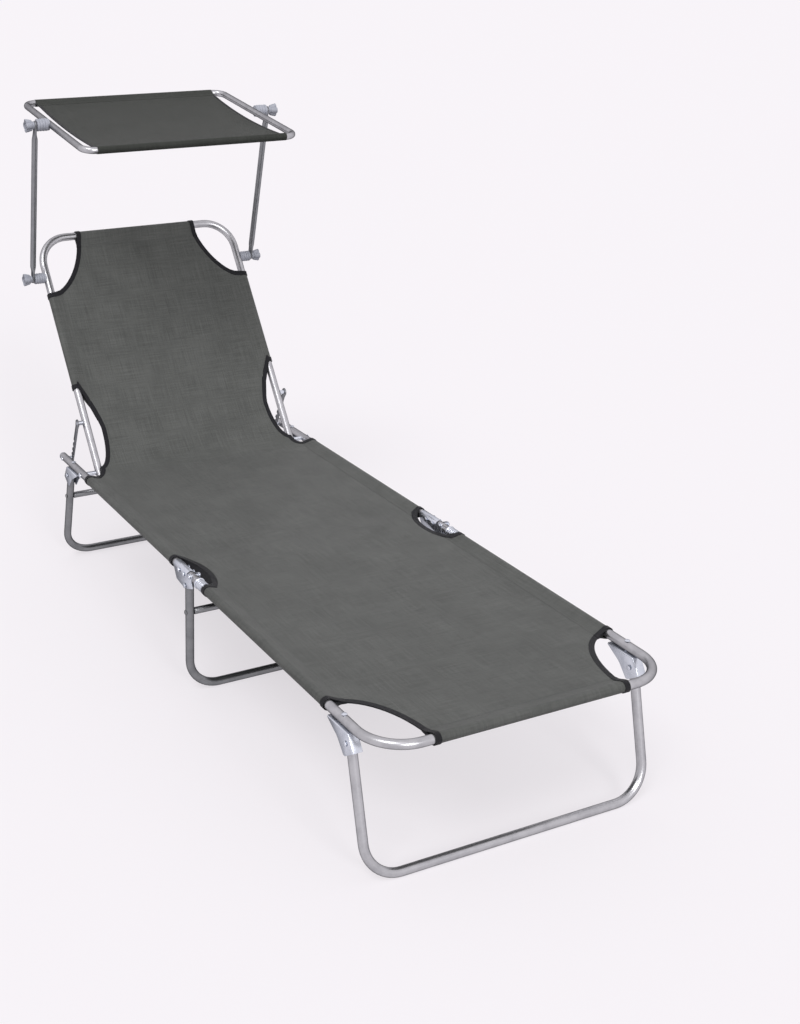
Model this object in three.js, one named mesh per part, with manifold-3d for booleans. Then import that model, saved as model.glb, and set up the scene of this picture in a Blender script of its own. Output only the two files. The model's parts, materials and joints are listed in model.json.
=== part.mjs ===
import * as THREE from "three";
import { mergeVertices } from "three/addons/utils/BufferGeometryUtils.js";
import Module from "manifold-3d";

// Millimetres, +Z up, +Y towards the head end. Y is measured from the axis of the foot frame's
// front tube while the pieces are made, and the whole lounger is centred at the end.

// Overall sizes
const lyingLength = 1885;
const frameWidth = 575;
const railTopHeight = 270;

// Tubes
const mainTubeRadius = 8.5;
const canopyTubeRadius = 7;
const armTubeRadius = 6.5;
const crossBarRadius = 7;
const footCornerRadius = 74;
const legCornerRadius = 63;
const backCornerRadius = 66.5;
const canopyCornerRadius = 26;

// Clearances
const fit = 0.3;
const foldSlotHalf = 0.4;
const backSlotHalf = 1.5;

// Pins, rivets and bolts
const pinRadius = 3;
const headRadius = 5;
const headHeight = 1.8;

// Where the sections hinge
const footFoldY = 690;
const footFoldRise = 5.5;
const backFoldY = 1299;
const backAngle = 52.8;
const backInset = 37;
const backTubeBelowFold = 14;

// Side rails
const railStartPastFold = 18;
const railEndY = 1434;
const capDome = 7;
const capRim = 1.75;
const capPlugLength = 10;

// Knuckle on each end of the foot frame
const knuckleThickness = 10;
const knuckleRadius = 7.5;
const footTubeEndY = 676;
const knuckleRootY = 670;
const footCollarStartY = 640;
const footCollarLength = 28;
const pressedThickness = 1.6;

// Mid hinge bracket, in side view
const saddleStartY = 710;
const saddleEndY = 768;
const saddleRivetYs = [741, 718];
const skirtDrop = 28.5;
const skirtLead = 10;
const skirtRise = 3.75;
const saddleSlant = 16;
const saddleLip = 7.5;
const earThroat = 15;

// Legs: how far each pivot pin is below the rail's axis, and where the leg meets the floor and the rail's height
const legs = {
  front: { footY: 23, railY: 97.3, pinDrop: 29.5, endPastPin: 8 },
  mid: { footY: 722.5, railY: 712, pinDrop: 22.5, endPastPin: 9 },
  rear: { footY: 1458, railY: 1376, pinDrop: 29.5, endPastPin: 8 },
};
const midCrossBarDrop = 81.5;
const rearCrossBarDrop = 87.9;

// Leg bracket, measured from the leg's pin
const bracketBack = 61.4;
const bracketFront = 4.6;
const bracketNose = 22.6;
const bracketNoseDrop = 7.5;
const bracketHeelDrop = 26.4;
const bracketRimDepth = 3.2;
const bracketRivetOffset = 23.4;
const wallSlantShare = 1.2;

// Ratchet stays
const stayPivotAlongBack = 120;
const stayThickness = 3;
const stayLength = 132;
const stayFrontHalf = 6.5;
const stayRearHalf = 6;
const stayEyeRadius = 9;
const catchRadius = 3.5;
const notchRadius = 4;
const reclineStops = [52.8, 45, 37, 29];

// Canopy and its arms
const armPinAlongBack = 474.6;
const armLength = 359.5;
const armLeanToFoot = 14.3;
const armOutset = 34;
const armFlatHalfThickness = 2.5;
const armFlatHalfWidth = 9;
const armFlatLength = 15;
const armShoulderUp = 22.5;
const armShoulderHalfWidth = 7.8;
const armShoulderHalfThickness = 3.9;
const armRoundUp = 33;
const armTipAngles = [20, 45, 72];
const pressedCornerShare = 0.5;
const canopyDepth = 390.2;
const canopyTilt = 7.3;
const canopyPinFromFront = 213.2;
const canopySag = 8;
const canopySideCurve = 8;

// Clamps and hand knobs
const lowerClampRadius = 12;
const upperClampRadius = 13;
const clampSaddleOverlap = 4;
const clampGrooveDepth = 1.2;
const clampGrooveWidth = 1.8;
const clampRibs = 3;
const knobRadius = 14;
const knobRootRadius = 9.5;
const knobNeckRadius = 8;
const knobNeckLength = 4;
const knobLength = 15;
const knobLobes = 4;

// Fabric
const webThickness = 1.2;
const sleeveThickness = 0.8;
const frontCutWidth = 93;
const frontCutLength = 163;
const midCutLengthHalf = 72;
const midCutCentreY = 706;
const midCutDepth = 32;
const lumbarCutStartY = 1240;
const lumbarCutWidth = 64;
const lumbarCutDepth = 29;
const lumbarCutCentre = 60;
const lumbarCutLengthHalf = 130;
const topCutWidth = 94;
const topCutLength = 137;

// How finely round shapes are divided
const tubeSides = 16;
const pinSides = 8;
const clampSides = 12;
const bendSteps = 5;
const arcSteps = 8;

// Sizes that follow from the ones above
const railX = frameWidth / 2 - mainTubeRadius;
const railZ = railTopHeight - mainTubeRadius;
const midCrossBarZ = railZ - midCrossBarDrop;
const rearCrossBarZ = railZ - rearCrossBarDrop;
const backHalfWidth = railX - backInset;
const canopyHalfWidth = backHalfWidth;
const stayInnerX = (backHalfWidth + railX) / 2;
const armX = backHalfWidth + armOutset;
const footFoldZ = railZ + footFoldRise;
const railStartY = footFoldY + railStartPastFold;
const backLength = lyingLength - mainTubeRadius * 2 - backFoldY;
const holeRadius = pinRadius + fit;
const sleeveInner = mainTubeRadius + fit;
const sleeveOuter = sleeveInner + sleeveThickness;
const plateInner = mainTubeRadius + fit;
const plateOuter = plateInner + pressedThickness;
const pinHalf = plateOuter + fit + headHeight;
const armInnerX = armX - armFlatHalfThickness;
const armOuterX = armX + armFlatHalfThickness;
const canopySleeveInner = canopyTubeRadius + fit;
const canopySleeveOuter = canopySleeveInner + sleeveThickness;
const frontHemHalf = railX - frontCutWidth;
const topHemHalf = backHalfWidth - topCutWidth;
const canopyFabricHalf = canopyHalfWidth - canopyCornerRadius;
const reach = frameWidth;
for (const leg of Object.values(legs)) leg.pinZ = railZ - leg.pinDrop;

const wasm = await Module();
wasm.setup();

const materials = {
  frame: new THREE.MeshStandardMaterial({ color: 0xaeb0b3, roughness: 0.35, metalness: 0.7 }),
  arm: new THREE.MeshStandardMaterial({ color: 0x77797c, roughness: 0.45, metalness: 0.5 }),
  zinc: new THREE.MeshStandardMaterial({ color: 0xc6c8cb, roughness: 0.3, metalness: 0.9 }),
  greyPlastic: new THREE.MeshStandardMaterial({ color: 0xa5a6ad, roughness: 0.5, metalness: 0 }),
  sling: new THREE.MeshStandardMaterial({ color: 0x686a68, roughness: 0.9, metalness: 0 }),
  canopyCloth: new THREE.MeshStandardMaterial({ color: 0x4f514d, roughness: 0.9, metalness: 0 }),
};

// The closed solid of a geometry, without the slivers that a lathe leaves on its axis
function solidOf(geometry) {
  const source = geometry.index ? geometry.toNonIndexed() : geometry;
  const bare = new THREE.BufferGeometry().setAttribute("position", source.getAttribute("position"));
  const merged = mergeVertices(bare);
  const corners = merged.index.array;
  const kept = [];
  for (let i = 0; i < corners.length; i += 3) {
    const [a, b, c] = [corners[i], corners[i + 1], corners[i + 2]];
    if (a !== b && b !== c && c !== a) kept.push(a, b, c);
  }
  return new wasm.Manifold(
    new wasm.Mesh({
      numProp: 3,
      vertProperties: merged.attributes.position.array,
      triVerts: new Uint32Array(kept),
    }),
  );
}

function geometryOf(solid) {
  const mesh = solid.getMesh();
  const geometry = new THREE.BufferGeometry();
  geometry.setAttribute("position", new THREE.BufferAttribute(mesh.vertProperties, 3));
  geometry.setIndex(new THREE.BufferAttribute(mesh.triVerts, 1));
  return geometry;
}

function joined(...geometries) {
  return geometryOf(geometries.map(solidOf).reduce((whole, piece) => whole.add(piece)));
}

function cut(geometry, ...tools) {
  return geometryOf(tools.map(solidOf).reduce((whole, tool) => whole.subtract(tool), solidOf(geometry)));
}

function shared(first, second) {
  return geometryOf(solidOf(first).intersect(solidOf(second)));
}

const radians = THREE.MathUtils.degToRad;
const flat = (x, y) => new THREE.Vector2(x, y);

// A solid bar between two x positions
function barAcross(radius, fromX, toX, y, z, sides = tubeSides) {
  const bar = new THREE.CylinderGeometry(radius, radius, Math.abs(toX - fromX), sides);
  return bar.rotateZ(-Math.PI / 2).translate((fromX + toX) / 2, y, z);
}

// A solid bar between two y positions
function barAlong(radius, fromY, toY, x, z, sides = tubeSides) {
  return new THREE.CylinderGeometry(radius, radius, toY - fromY, sides).translate(x, (fromY + toY) / 2, z);
}

// A solid bar between two heights
function barUp(radius, fromZ, toZ, x, y, sides = pinSides) {
  const bar = new THREE.CylinderGeometry(radius, radius, toZ - fromZ, sides).rotateX(Math.PI / 2);
  return bar.translate(x, y, (fromZ + toZ) / 2);
}

function box(fromX, toX, fromY, toY, fromZ, toZ) {
  const block = new THREE.BoxGeometry(toX - fromX, toY - fromY, toZ - fromZ);
  return block.translate((fromX + toX) / 2, (fromY + toY) / 2, (fromZ + toZ) / 2);
}

// A plate whose outline is given as (y, z) points and whose thickness runs along x
function plateAcross(outline, fromX, toX) {
  const plate = new THREE.ExtrudeGeometry(new THREE.Shape(outline), {
    depth: toX - fromX,
    bevelEnabled: false,
  });
  const turned = new THREE.Matrix4().makeBasis(
    new THREE.Vector3(0, 1, 0),
    new THREE.Vector3(0, 0, 1),
    new THREE.Vector3(1, 0, 0),
  );
  return plate.applyMatrix4(turned).translate(fromX, 0, 0);
}

// A plate whose outline is given as (x, y) points and whose thickness runs along z
function plateFlat(outline, fromZ, toZ) {
  const plate = new THREE.ExtrudeGeometry(new THREE.Shape(outline), {
    depth: toZ - fromZ,
    bevelEnabled: false,
  });
  return plate.translate(0, 0, fromZ);
}

// A profile given as (x, z) points, drawn out between two y positions
function channelAlong(profile, fromY, toY) {
  const channel = new THREE.ExtrudeGeometry(new THREE.Shape(profile), {
    depth: toY - fromY,
    bevelEnabled: false,
  });
  return channel.rotateX(Math.PI / 2).translate(0, toY, 0);
}

// A turned piece about an axis along x, its profile given as [x, radius] pairs
function turnedAcross(profile, y, z, sides = pinSides) {
  const points = profile.map(([x, radius]) => flat(radius, x));
  return new THREE.LatheGeometry(points, sides).rotateZ(-Math.PI / 2).translate(0, y, z);
}

// Points on an ellipse between two angles in degrees
function ellipsePoints(centreX, centreY, radiusX, radiusY, fromAngle, toAngle, steps = arcSteps) {
  return Array.from({ length: steps + 1 }, (_, step) => {
    const angle = radians(fromAngle + ((toAngle - fromAngle) * step) / steps);
    return flat(centreX + radiusX * Math.cos(angle), centreY + radiusY * Math.sin(angle));
  });
}

// A flat path of straight runs joined by round bends, with one station at each end of a straight
// and bendSteps stations round each bend
class BentPath extends THREE.Curve {
  constructor(corners, bendRadius) {
    super();
    const heading = (i) => corners[i + 1].clone().sub(corners[i]).normalize();
    this.stations = [{ at: corners[0], heading: heading(0) }];
    for (let i = 1; i < corners.length - 1; i++) {
      const before = heading(i - 1);
      const turn = Math.atan2(before.cross(heading(i)), before.dot(heading(i)));
      const setback = bendRadius * Math.tan(Math.abs(turn) / 2);
      const start = corners[i].clone().addScaledVector(before, -setback);
      const inward = flat(-before.y, before.x).multiplyScalar(Math.sign(turn));
      const centre = start.clone().addScaledVector(inward, bendRadius);
      for (let step = 0; step <= bendSteps; step++) {
        const turned = (turn * step) / bendSteps;
        this.stations.push({
          at: start.clone().rotateAround(centre, turned),
          heading: before.clone().rotateAround(flat(0, 0), turned),
        });
      }
    }
    this.stations.push({ at: corners.at(-1), heading: heading(corners.length - 2) });
  }

  get steps() {
    return this.stations.length - 1;
  }

  station(share) {
    return this.stations[Math.round(share * this.steps)];
  }

  getPointAt(share) {
    const { at } = this.station(share);
    return new THREE.Vector3(at.x, at.y, 0);
  }

  getTangentAt(share) {
    const { heading } = this.station(share);
    return new THREE.Vector3(heading.x, heading.y, 0);
  }

  computeFrenetFrames(steps) {
    const upright = new THREE.Vector3(0, 0, 1);
    const tangents = Array.from({ length: steps + 1 }, (_, i) => this.getTangentAt(i / steps));
    return {
      tangents,
      normals: tangents.map(() => upright.clone()),
      binormals: tangents.map((tangent) => tangent.clone().cross(upright)),
    };
  }
}

// A tube bent in the XY plane; one facet of it faces facetAngle degrees round its section
function bentTube(corners, bendRadius, radius, facetAngle = 90) {
  const path = new BentPath(corners, bendRadius);
  const half = 180 / tubeSides;
  const ring = ellipsePoints(0, 0, radius, radius, facetAngle + half, facetAngle + half + 360, tubeSides);
  ring.pop();
  return new THREE.ExtrudeGeometry(new THREE.Shape(ring), { steps: path.steps, extrudePath: path });
}

// A tube drawn through rings of points, closed at both ends
function lofted(rings) {
  const sides = rings[0].length;
  const positions = rings.flat().flatMap((point) => point.toArray());
  const corners = [];
  for (let ring = 0; ring < rings.length - 1; ring++) {
    for (let side = 0; side < sides; side++) {
      const here = ring * sides + side;
      const beside = ring * sides + ((side + 1) % sides);
      corners.push(here, beside, beside + sides, here, beside + sides, here + sides);
    }
  }
  const last = (rings.length - 1) * sides;
  for (let side = 1; side < sides - 1; side++) {
    corners.push(0, side + 1, side, last, last + side, last + side + 1);
  }
  const geometry = new THREE.BufferGeometry();
  geometry.setAttribute("position", new THREE.Float32BufferAttribute(positions, 3));
  return geometry.setIndex(corners);
}

// A pin along x with a domed head on both ends
function doubleHeadedPin(x, y, z, half = pinHalf) {
  const profile = [
    [x - half, 0],
    [x - half, headRadius - headHeight / 2],
    [x - half + headHeight / 2, headRadius],
    [x - half + headHeight, headRadius],
    [x - half + headHeight, pinRadius],
    [x + half - headHeight, pinRadius],
    [x + half - headHeight, headRadius],
    [x + half - headHeight / 2, headRadius],
    [x + half, headRadius - headHeight / 2],
    [x + half, 0],
  ];
  return turnedAcross(profile, y, z);
}

// A rivet straight down through the rail and the top of a leg bracket
function bracketRivet(y) {
  const top = railTopHeight + fit;
  const bottom = railZ - plateInner - pressedThickness - fit;
  return joined(
    barUp(pinRadius, bottom - headHeight / 2, top + headHeight, railX, y),
    barUp(headRadius, top, top + headHeight, railX, y),
    barUp(headRadius, bottom - headHeight, bottom, railX, y),
  );
}

function pinHole(y, z) {
  return barAcross(holeRadius, railX - reach, railX + reach, y, z, pinSides);
}

// Height of the bar that rests on the floor: its lowest facet lies on the floor
const floorBarZ = mainTubeRadius * Math.cos(Math.PI / tubeSides);

const legLean = (leg) => Math.atan2(leg.railY - leg.footY, railZ - floorBarZ);
const legYAt = (leg, z) => leg.footY + Math.tan(legLean(leg)) * (z - floorBarZ);
const pinY = (leg) => legYAt(leg, leg.pinZ);

function legTube(leg, crossBarZ) {
  const lean = legLean(leg);
  const legTop = (leg.pinZ - floorBarZ) / Math.cos(lean) + leg.endPastPin;
  const corners = [flat(-railX, legTop), flat(-railX, 0), flat(railX, 0), flat(railX, legTop)];
  const tube = bentTube(corners, legCornerRadius, mainTubeRadius, 90 + THREE.MathUtils.radToDeg(lean));
  tube.rotateX(Math.PI / 2 - lean).translate(0, leg.footY, floorBarZ);
  const holes = [pinHole(pinY(leg), leg.pinZ)];
  if (crossBarZ) holes.push(pinHole(legYAt(leg, crossBarZ), crossBarZ));
  return cut(tube, ...holes);
}

// A bar between the two sides of a leg, its narrowed ends peened over outside the leg
function legCrossBar(leg, z) {
  const shoulder = railX - mainTubeRadius - fit;
  const outside = railX + mainTubeRadius + fit;
  const half = [
    [shoulder, crossBarRadius],
    [shoulder, pinRadius],
    [outside, pinRadius],
    [outside, headRadius],
    [outside + headHeight / 2, headRadius],
    [outside + headHeight, headRadius - headHeight / 2],
    [outside + headHeight, 0],
  ];
  const mirrored = half.map(([x, radius]) => [-x, radius]).reverse();
  return turnedAcross([...mirrored, ...half], legYAt(leg, z), z, clampSides);
}

// Pressed channel under the rail that carries a leg's pin, closed on the side the leg leans to;
// towards is +1 when the channel opens to the head
function legBracket(leg, towards) {
  const y = pinY(leg);
  const top = railZ - plateInner;
  const place = ([along, up]) => flat(y + towards * along, leg.pinZ + up);
  const topUp = top - leg.pinZ;
  const outline = [
    [bracketBack, topUp],
    [-bracketFront, topUp],
    [-bracketNose, -bracketNoseDrop],
    [bracketFront, -bracketHeelDrop],
    [bracketRivetOffset + bracketFront, -pressedThickness],
    [bracketBack, topUp - bracketRimDepth],
  ].map(place);
  const wall = pressedThickness * wallSlantShare;
  const slantRun = bracketNose - bracketFront;
  const slantDrop = topUp + bracketNoseDrop;
  const hollow = [
    [reach, topUp - pressedThickness],
    [wall - bracketFront, topUp - pressedThickness],
    [wall - bracketNose, -bracketNoseDrop],
    [wall - bracketNose - slantRun, -bracketNoseDrop - slantDrop],
    [reach, -reach],
  ].map(place);
  return cut(
    plateAcross(outline, railX - plateOuter, railX + plateOuter),
    plateAcross(hollow, railX - plateInner, railX + plateInner),
    pinHole(y, leg.pinZ),
    barUp(holeRadius, leg.pinZ, railZ, railX, y + towards * bracketRivetOffset),
  );
}

const stayCatchY = backFoldY + stayPivotAlongBack;
const bracketRivetY = {
  front: pinY(legs.front) + bracketRivetOffset,
  rear: pinY(legs.rear) - bracketRivetOffset,
};

function seatRail() {
  const rail = barAlong(mainTubeRadius, railStartY, railEndY, railX, railZ);
  return cut(
    rail,
    ...saddleRivetYs.map((y) => pinHole(y, railZ)),
    pinHole(backFoldY, railZ),
    pinHole(stayCatchY, railZ),
    barUp(holeRadius, 0, reach, railX, bracketRivetY.rear),
    barAlong(holeRadius, railEndY - capPlugLength, lyingLength, railX, railZ, pinSides),
  );
}

// Plastic plug with a domed end, pushed into the rear end of the rail
function railEndCap() {
  const face = railEndY + fit;
  const profile = [
    flat(0, face - capPlugLength),
    flat(pinRadius, face - capPlugLength),
    flat(pinRadius, face),
    flat(mainTubeRadius, face),
    ...ellipsePoints(0, face + capRim, mainTubeRadius, capDome, 0, 90, arcSteps / 2),
  ];
  profile.at(-1).x = 0;
  return new THREE.LatheGeometry(profile, tubeSides).translate(railX, 0, railZ);
}

// Pressed saddle over the front end of the rail, with two ears for the fold pin
function midHingeBracket() {
  const low = railZ - skirtDrop;
  const arch = [
    flat(plateInner, low),
    flat(plateOuter, low),
    ...ellipsePoints(0, railZ, plateOuter, plateOuter, 0, 180),
    flat(-plateOuter, low),
    flat(-plateInner, low),
    ...ellipsePoints(0, railZ, plateInner, plateInner, 180, 0, arcSteps * 2),
  ];
  const saddleSide = [
    flat(saddleStartY, low + pressedThickness),
    flat(saddleStartY + skirtLead, low),
    flat(saddleEndY - saddleSlant, low + skirtRise),
    flat(saddleEndY - saddleLip, railZ - skirtRise),
    flat(saddleEndY, railTopHeight),
    flat(saddleEndY, reach),
    flat(saddleStartY, reach),
  ];
  const saddle = shared(
    channelAlong(arch, saddleStartY, saddleEndY).translate(railX, 0, 0),
    plateAcross(saddleSide, railX - reach, railX + reach),
  );
  const earRadius = knuckleRadius + fit;
  const earSide = [
    flat(saddleStartY + pressedThickness, low + pressedThickness),
    flat(saddleStartY + pressedThickness, railZ),
    ...ellipsePoints(footFoldY, footFoldZ, earRadius, earRadius, 0, 180),
    flat(footFoldY - earRadius, railZ - knuckleRadius),
    flat(footTubeEndY, railZ - earThroat),
    flat(footFoldY + skirtLead, low + skirtRise),
  ];
  const ears = [-1, 1].map((side) => {
    const faces = [railX + side * plateInner, railX + side * plateOuter].sort((a, b) => a - b);
    return plateAcross(earSide, ...faces);
  });
  return cut(
    joined(saddle, ...ears),
    pinHole(footFoldY, footFoldZ),
    pinHole(pinY(legs.mid), legs.mid.pinZ),
    ...saddleRivetYs.map((y) => pinHole(y, railZ)),
  );
}

// Shouldered bolt that the backrest turns on, its shoulder between the rail and the backrest tube
function backrestPivot() {
  const nutFace = backHalfWidth - mainTubeRadius - fit;
  const shoulderStart = backHalfWidth + mainTubeRadius + fit;
  const shoulderEnd = railX - mainTubeRadius - fit;
  const headFace = railX + mainTubeRadius + fit;
  const profile = [
    [nutFace - headHeight, 0],
    [nutFace - headHeight, headRadius],
    [nutFace, headRadius],
    [nutFace, pinRadius],
    [shoulderStart, pinRadius],
    [shoulderStart, headRadius],
    [shoulderEnd, headRadius],
    [shoulderEnd, pinRadius],
    [headFace, pinRadius],
    [headFace, headRadius],
    [headFace + headHeight, headRadius - headHeight / 2],
    [headFace + headHeight, 0],
  ];
  return turnedAcross(profile, backFoldY, railZ, clampSides);
}

// Stud on the inner side of the rail that the notches of the ratchet stay drop over
function stayCatch() {
  const tip = stayInnerX + stayThickness + fit * 2;
  const shoulder = railX - mainTubeRadius - fit;
  const headFace = railX + mainTubeRadius + fit;
  const profile = [
    [tip, 0],
    [tip, catchRadius],
    [shoulder, catchRadius],
    [shoulder, pinRadius],
    [headFace, pinRadius],
    [headFace, headRadius],
    [headFace + headHeight, headRadius - headHeight / 2],
    [headFace + headHeight, 0],
  ];
  return turnedAcross(profile, stayCatchY, railZ);
}

function footFrame() {
  const corners = [
    flat(-railX, footTubeEndY),
    flat(-railX, 0),
    flat(railX, 0),
    flat(railX, footTubeEndY),
  ];
  const tube = bentTube(corners, footCornerRadius, mainTubeRadius).translate(0, 0, railZ);
  const knuckleSide = [
    flat(knuckleRootY, railZ - knuckleRadius),
    ...ellipsePoints(footFoldY, footFoldZ, knuckleRadius, knuckleRadius, -90, 90),
    flat(knuckleRootY, railZ + knuckleRadius),
  ];
  const half = knuckleThickness / 2;
  const knuckles = [-railX, railX].map((x) => plateAcross(knuckleSide, x - half, x + half));
  const rivetHoles = [-railX, railX].map((x) =>
    barUp(holeRadius, 0, reach, x, bracketRivetY.front),
  );
  return cut(joined(tube, ...knuckles), pinHole(footFoldY, footFoldZ), ...rivetHoles);
}

function footCollar() {
  const end = footCollarStartY + footCollarLength;
  return cut(
    barAlong(plateOuter, footCollarStartY, end, railX, railZ),
    barAlong(plateInner, footCollarStartY - fit, end + fit, railX, railZ),
  );
}

// A web between the side tubes with a sleeve round each tube, less the room the tubes take
function sling(rightEdge, sleeves, bores) {
  const leftEdge = rightEdge.map((point) => flat(-point.x, point.y)).reverse();
  const web = plateFlat([...rightEdge, ...leftEdge], -webThickness / 2, webThickness / 2);
  return cut(joined(web, ...sleeves), ...bores);
}

const bothSides = (make) => [-1, 1].map(make);

function footSling() {
  const rearEdge = footFoldY - foldSlotHalf;
  const cutStartY = midCutCentreY - midCutLengthHalf;
  const lastAngle = 360 + THREE.MathUtils.radToDeg(-Math.asin((midCutCentreY - rearEdge) / midCutLengthHalf));
  const rightEdge = [
    ...ellipsePoints(railX, 0, frontCutWidth, frontCutLength, 180, 90),
    ...ellipsePoints(railX, midCutCentreY, midCutDepth, midCutLengthHalf, 270, 540 - lastAngle),
  ];
  const straightHalf = railX - footCornerRadius;
  return sling(
    rightEdge,
    [
      barAcross(sleeveOuter, -frontHemHalf, frontHemHalf, 0, 0),
      ...bothSides((side) => barAlong(sleeveOuter, frontCutLength, cutStartY, side * railX, 0)),
    ],
    [
      barAcross(sleeveInner, -straightHalf, straightHalf, 0, 0),
      ...bothSides((side) => barAlong(sleeveInner, footCornerRadius, footTubeEndY, side * railX, 0)),
    ],
  ).translate(0, 0, railZ);
}

function seatSling() {
  const frontEdge = footFoldY + foldSlotHalf;
  const cutEndY = midCutCentreY + midCutLengthHalf;
  const rearEdge = backFoldY - backSlotHalf;
  const firstAngle = THREE.MathUtils.radToDeg(Math.asin((midCutCentreY - frontEdge) / midCutLengthHalf));
  const lumbarLength = backFoldY - lumbarCutStartY;
  const lastAngle = THREE.MathUtils.radToDeg(Math.acos(backSlotHalf / lumbarLength));
  const rightEdge = [
    ...ellipsePoints(railX, midCutCentreY, midCutDepth, midCutLengthHalf, 180 + firstAngle, 90),
    ...ellipsePoints(railX, backFoldY, lumbarCutWidth, lumbarLength, 270, 270 - lastAngle),
  ];
  rightEdge.at(-1).y = rearEdge;
  return sling(
    rightEdge,
    bothSides((side) => barAlong(sleeveOuter, cutEndY, lumbarCutStartY, side * railX, 0)),
    bothSides((side) => barAlong(sleeveInner, railStartY, backFoldY, side * railX, 0)),
  ).translate(0, 0, railZ);
}

// The backrest's pieces are built flat, with y measured along it from its pivot
function onBackrest(geometry) {
  return geometry.rotateX(radians(backAngle)).translate(0, backFoldY, railZ);
}

function backrestFrame() {
  const corners = [
    flat(-backHalfWidth, -backTubeBelowFold),
    flat(-backHalfWidth, backLength),
    flat(backHalfWidth, backLength),
    flat(backHalfWidth, -backTubeBelowFold),
  ];
  const tube = bentTube(corners, backCornerRadius, mainTubeRadius);
  const holes = [0, stayPivotAlongBack, armPinAlongBack].map((along) => pinHole(along, 0));
  return onBackrest(cut(tube, ...holes));
}

function backSling() {
  const lowAngle = THREE.MathUtils.radToDeg(Math.asin((lumbarCutCentre - backSlotHalf) / lumbarCutLengthHalf));
  const sleeveStart = lumbarCutCentre + lumbarCutLengthHalf;
  const sleeveEnd = backLength - topCutLength;
  const rightEdge = [
    ...ellipsePoints(
      backHalfWidth,
      lumbarCutCentre,
      lumbarCutDepth,
      lumbarCutLengthHalf,
      180 + lowAngle,
      90,
    ),
    ...ellipsePoints(backHalfWidth, backLength, topCutWidth, topCutLength, 270, 180),
  ];
  const straightHalf = backHalfWidth - backCornerRadius;
  const straightEnd = backLength - backCornerRadius;
  return onBackrest(
    sling(
      rightEdge,
      [
        barAcross(sleeveOuter, -topHemHalf, topHemHalf, backLength, 0),
        ...bothSides((side) => barAlong(sleeveOuter, sleeveStart, sleeveEnd, side * backHalfWidth, 0)),
      ],
      [
        barAcross(sleeveInner, -straightHalf, straightHalf, backLength, 0),
        ...bothSides((side) => barAlong(sleeveInner, -backTubeBelowFold, straightEnd, side * backHalfWidth, 0)),
      ],
    ),
  );
}

// Stud on the backrest tube, riveted flush in the eye of the stay
function stayPivot() {
  const shoulderStart = backHalfWidth + mainTubeRadius + fit;
  const profile = [
    [backHalfWidth, 0],
    [backHalfWidth, pinRadius],
    [shoulderStart, pinRadius],
    [shoulderStart, headRadius],
    [stayInnerX - fit, headRadius],
    [stayInnerX - fit, pinRadius],
    [stayInnerX + stayThickness, pinRadius],
    [stayInnerX + stayThickness, 0],
  ];
  return onBackrest(turnedAcross(profile, stayPivotAlongBack, 0));
}

// Distance from the stay's eye to the catch when the backrest stands at an angle
const catchDistance = (angle) => stayPivotAlongBack * 2 * Math.sin(radians(angle) / 2);

// Flat notched bar, built hanging straight down from its eye, notches towards the head
function ratchetStay() {
  const tip = -stayLength;
  const blank = [
    flat(stayRearHalf, 0),
    ...ellipsePoints(0, 0, stayEyeRadius, stayEyeRadius, 30, 180),
    flat(-stayFrontHalf, tip + stayFrontHalf),
    flat(-stayFrontHalf / 2, tip),
    flat(stayRearHalf, tip),
  ];
  const notches = reclineStops.map((angle) => {
    const z = -catchDistance(angle);
    return plateAcross(
      [
        flat(stayEyeRadius, z - notchRadius),
        flat(stayEyeRadius, z + notchRadius),
        ...ellipsePoints(0, z, notchRadius, notchRadius, 90, 270, arcSteps / 2),
      ],
      0,
      reach,
    );
  });
  const bar = cut(
    plateAcross(blank, stayInnerX, stayInnerX + stayThickness),
    barAcross(holeRadius, 0, reach, 0, 0, pinSides),
    ...notches,
  );
  const eyeY = backFoldY + stayPivotAlongBack * Math.cos(radians(backAngle));
  const eyeZ = railZ + stayPivotAlongBack * Math.sin(radians(backAngle));
  return bar.rotateX(radians(backAngle / 2)).translate(0, eyeY, eyeZ);
}

const armPin = {
  y: backFoldY + armPinAlongBack * Math.cos(radians(backAngle)),
  z: railZ + armPinAlongBack * Math.sin(radians(backAngle)),
};
const canopyPin = {
  y: armPin.y - armLength * Math.sin(radians(armLeanToFoot)),
  z: armPin.z + armLength * Math.cos(radians(armLeanToFoot)),
};

// Round arm with both ends pressed flat, built standing on its lower bolt
function canopyArm() {
  const tip = armTipAngles.map((angle) => [
    -armFlatHalfWidth * Math.cos(radians(angle)),
    armFlatHalfWidth * Math.sin(radians(angle)),
    armFlatHalfThickness,
  ]);
  const end = [
    ...tip,
    [armFlatLength, armFlatHalfWidth, armFlatHalfThickness],
    [armShoulderUp, armShoulderHalfWidth, armShoulderHalfThickness],
    [armRoundUp, armTubeRadius, armTubeRadius],
  ];
  const stations = [...end, ...end.map(([up, ...half]) => [armLength - up, ...half]).reverse()];
  const rings = stations.map(([up, halfWidth, halfThickness]) => {
    const corner = halfThickness < armTubeRadius ? pressedCornerShare : 1;
    return Array.from({ length: tubeSides }, (_, side) => {
      const angle = (side / tubeSides) * Math.PI * 2;
      const across = Math.sign(Math.cos(angle)) * Math.abs(Math.cos(angle)) ** corner * halfThickness;
      return new THREE.Vector3(armX + across, Math.sin(angle) * halfWidth, up);
    });
  });
  const holes = [0, armLength].map((up) => pinHole(0, up));
  const arm = cut(lofted(rings), ...holes);
  return arm.rotateX(radians(armLeanToFoot)).translate(0, armPin.y, armPin.z);
}

// The canopy's pieces are built flat, with y measured from its bolts
function onCanopy(geometry) {
  return geometry.rotateX(radians(canopyTilt)).translate(0, canopyPin.y, canopyPin.z);
}

const canopyFrontY = -canopyPinFromFront;
const canopyRearY = canopyDepth - canopyPinFromFront;

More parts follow.
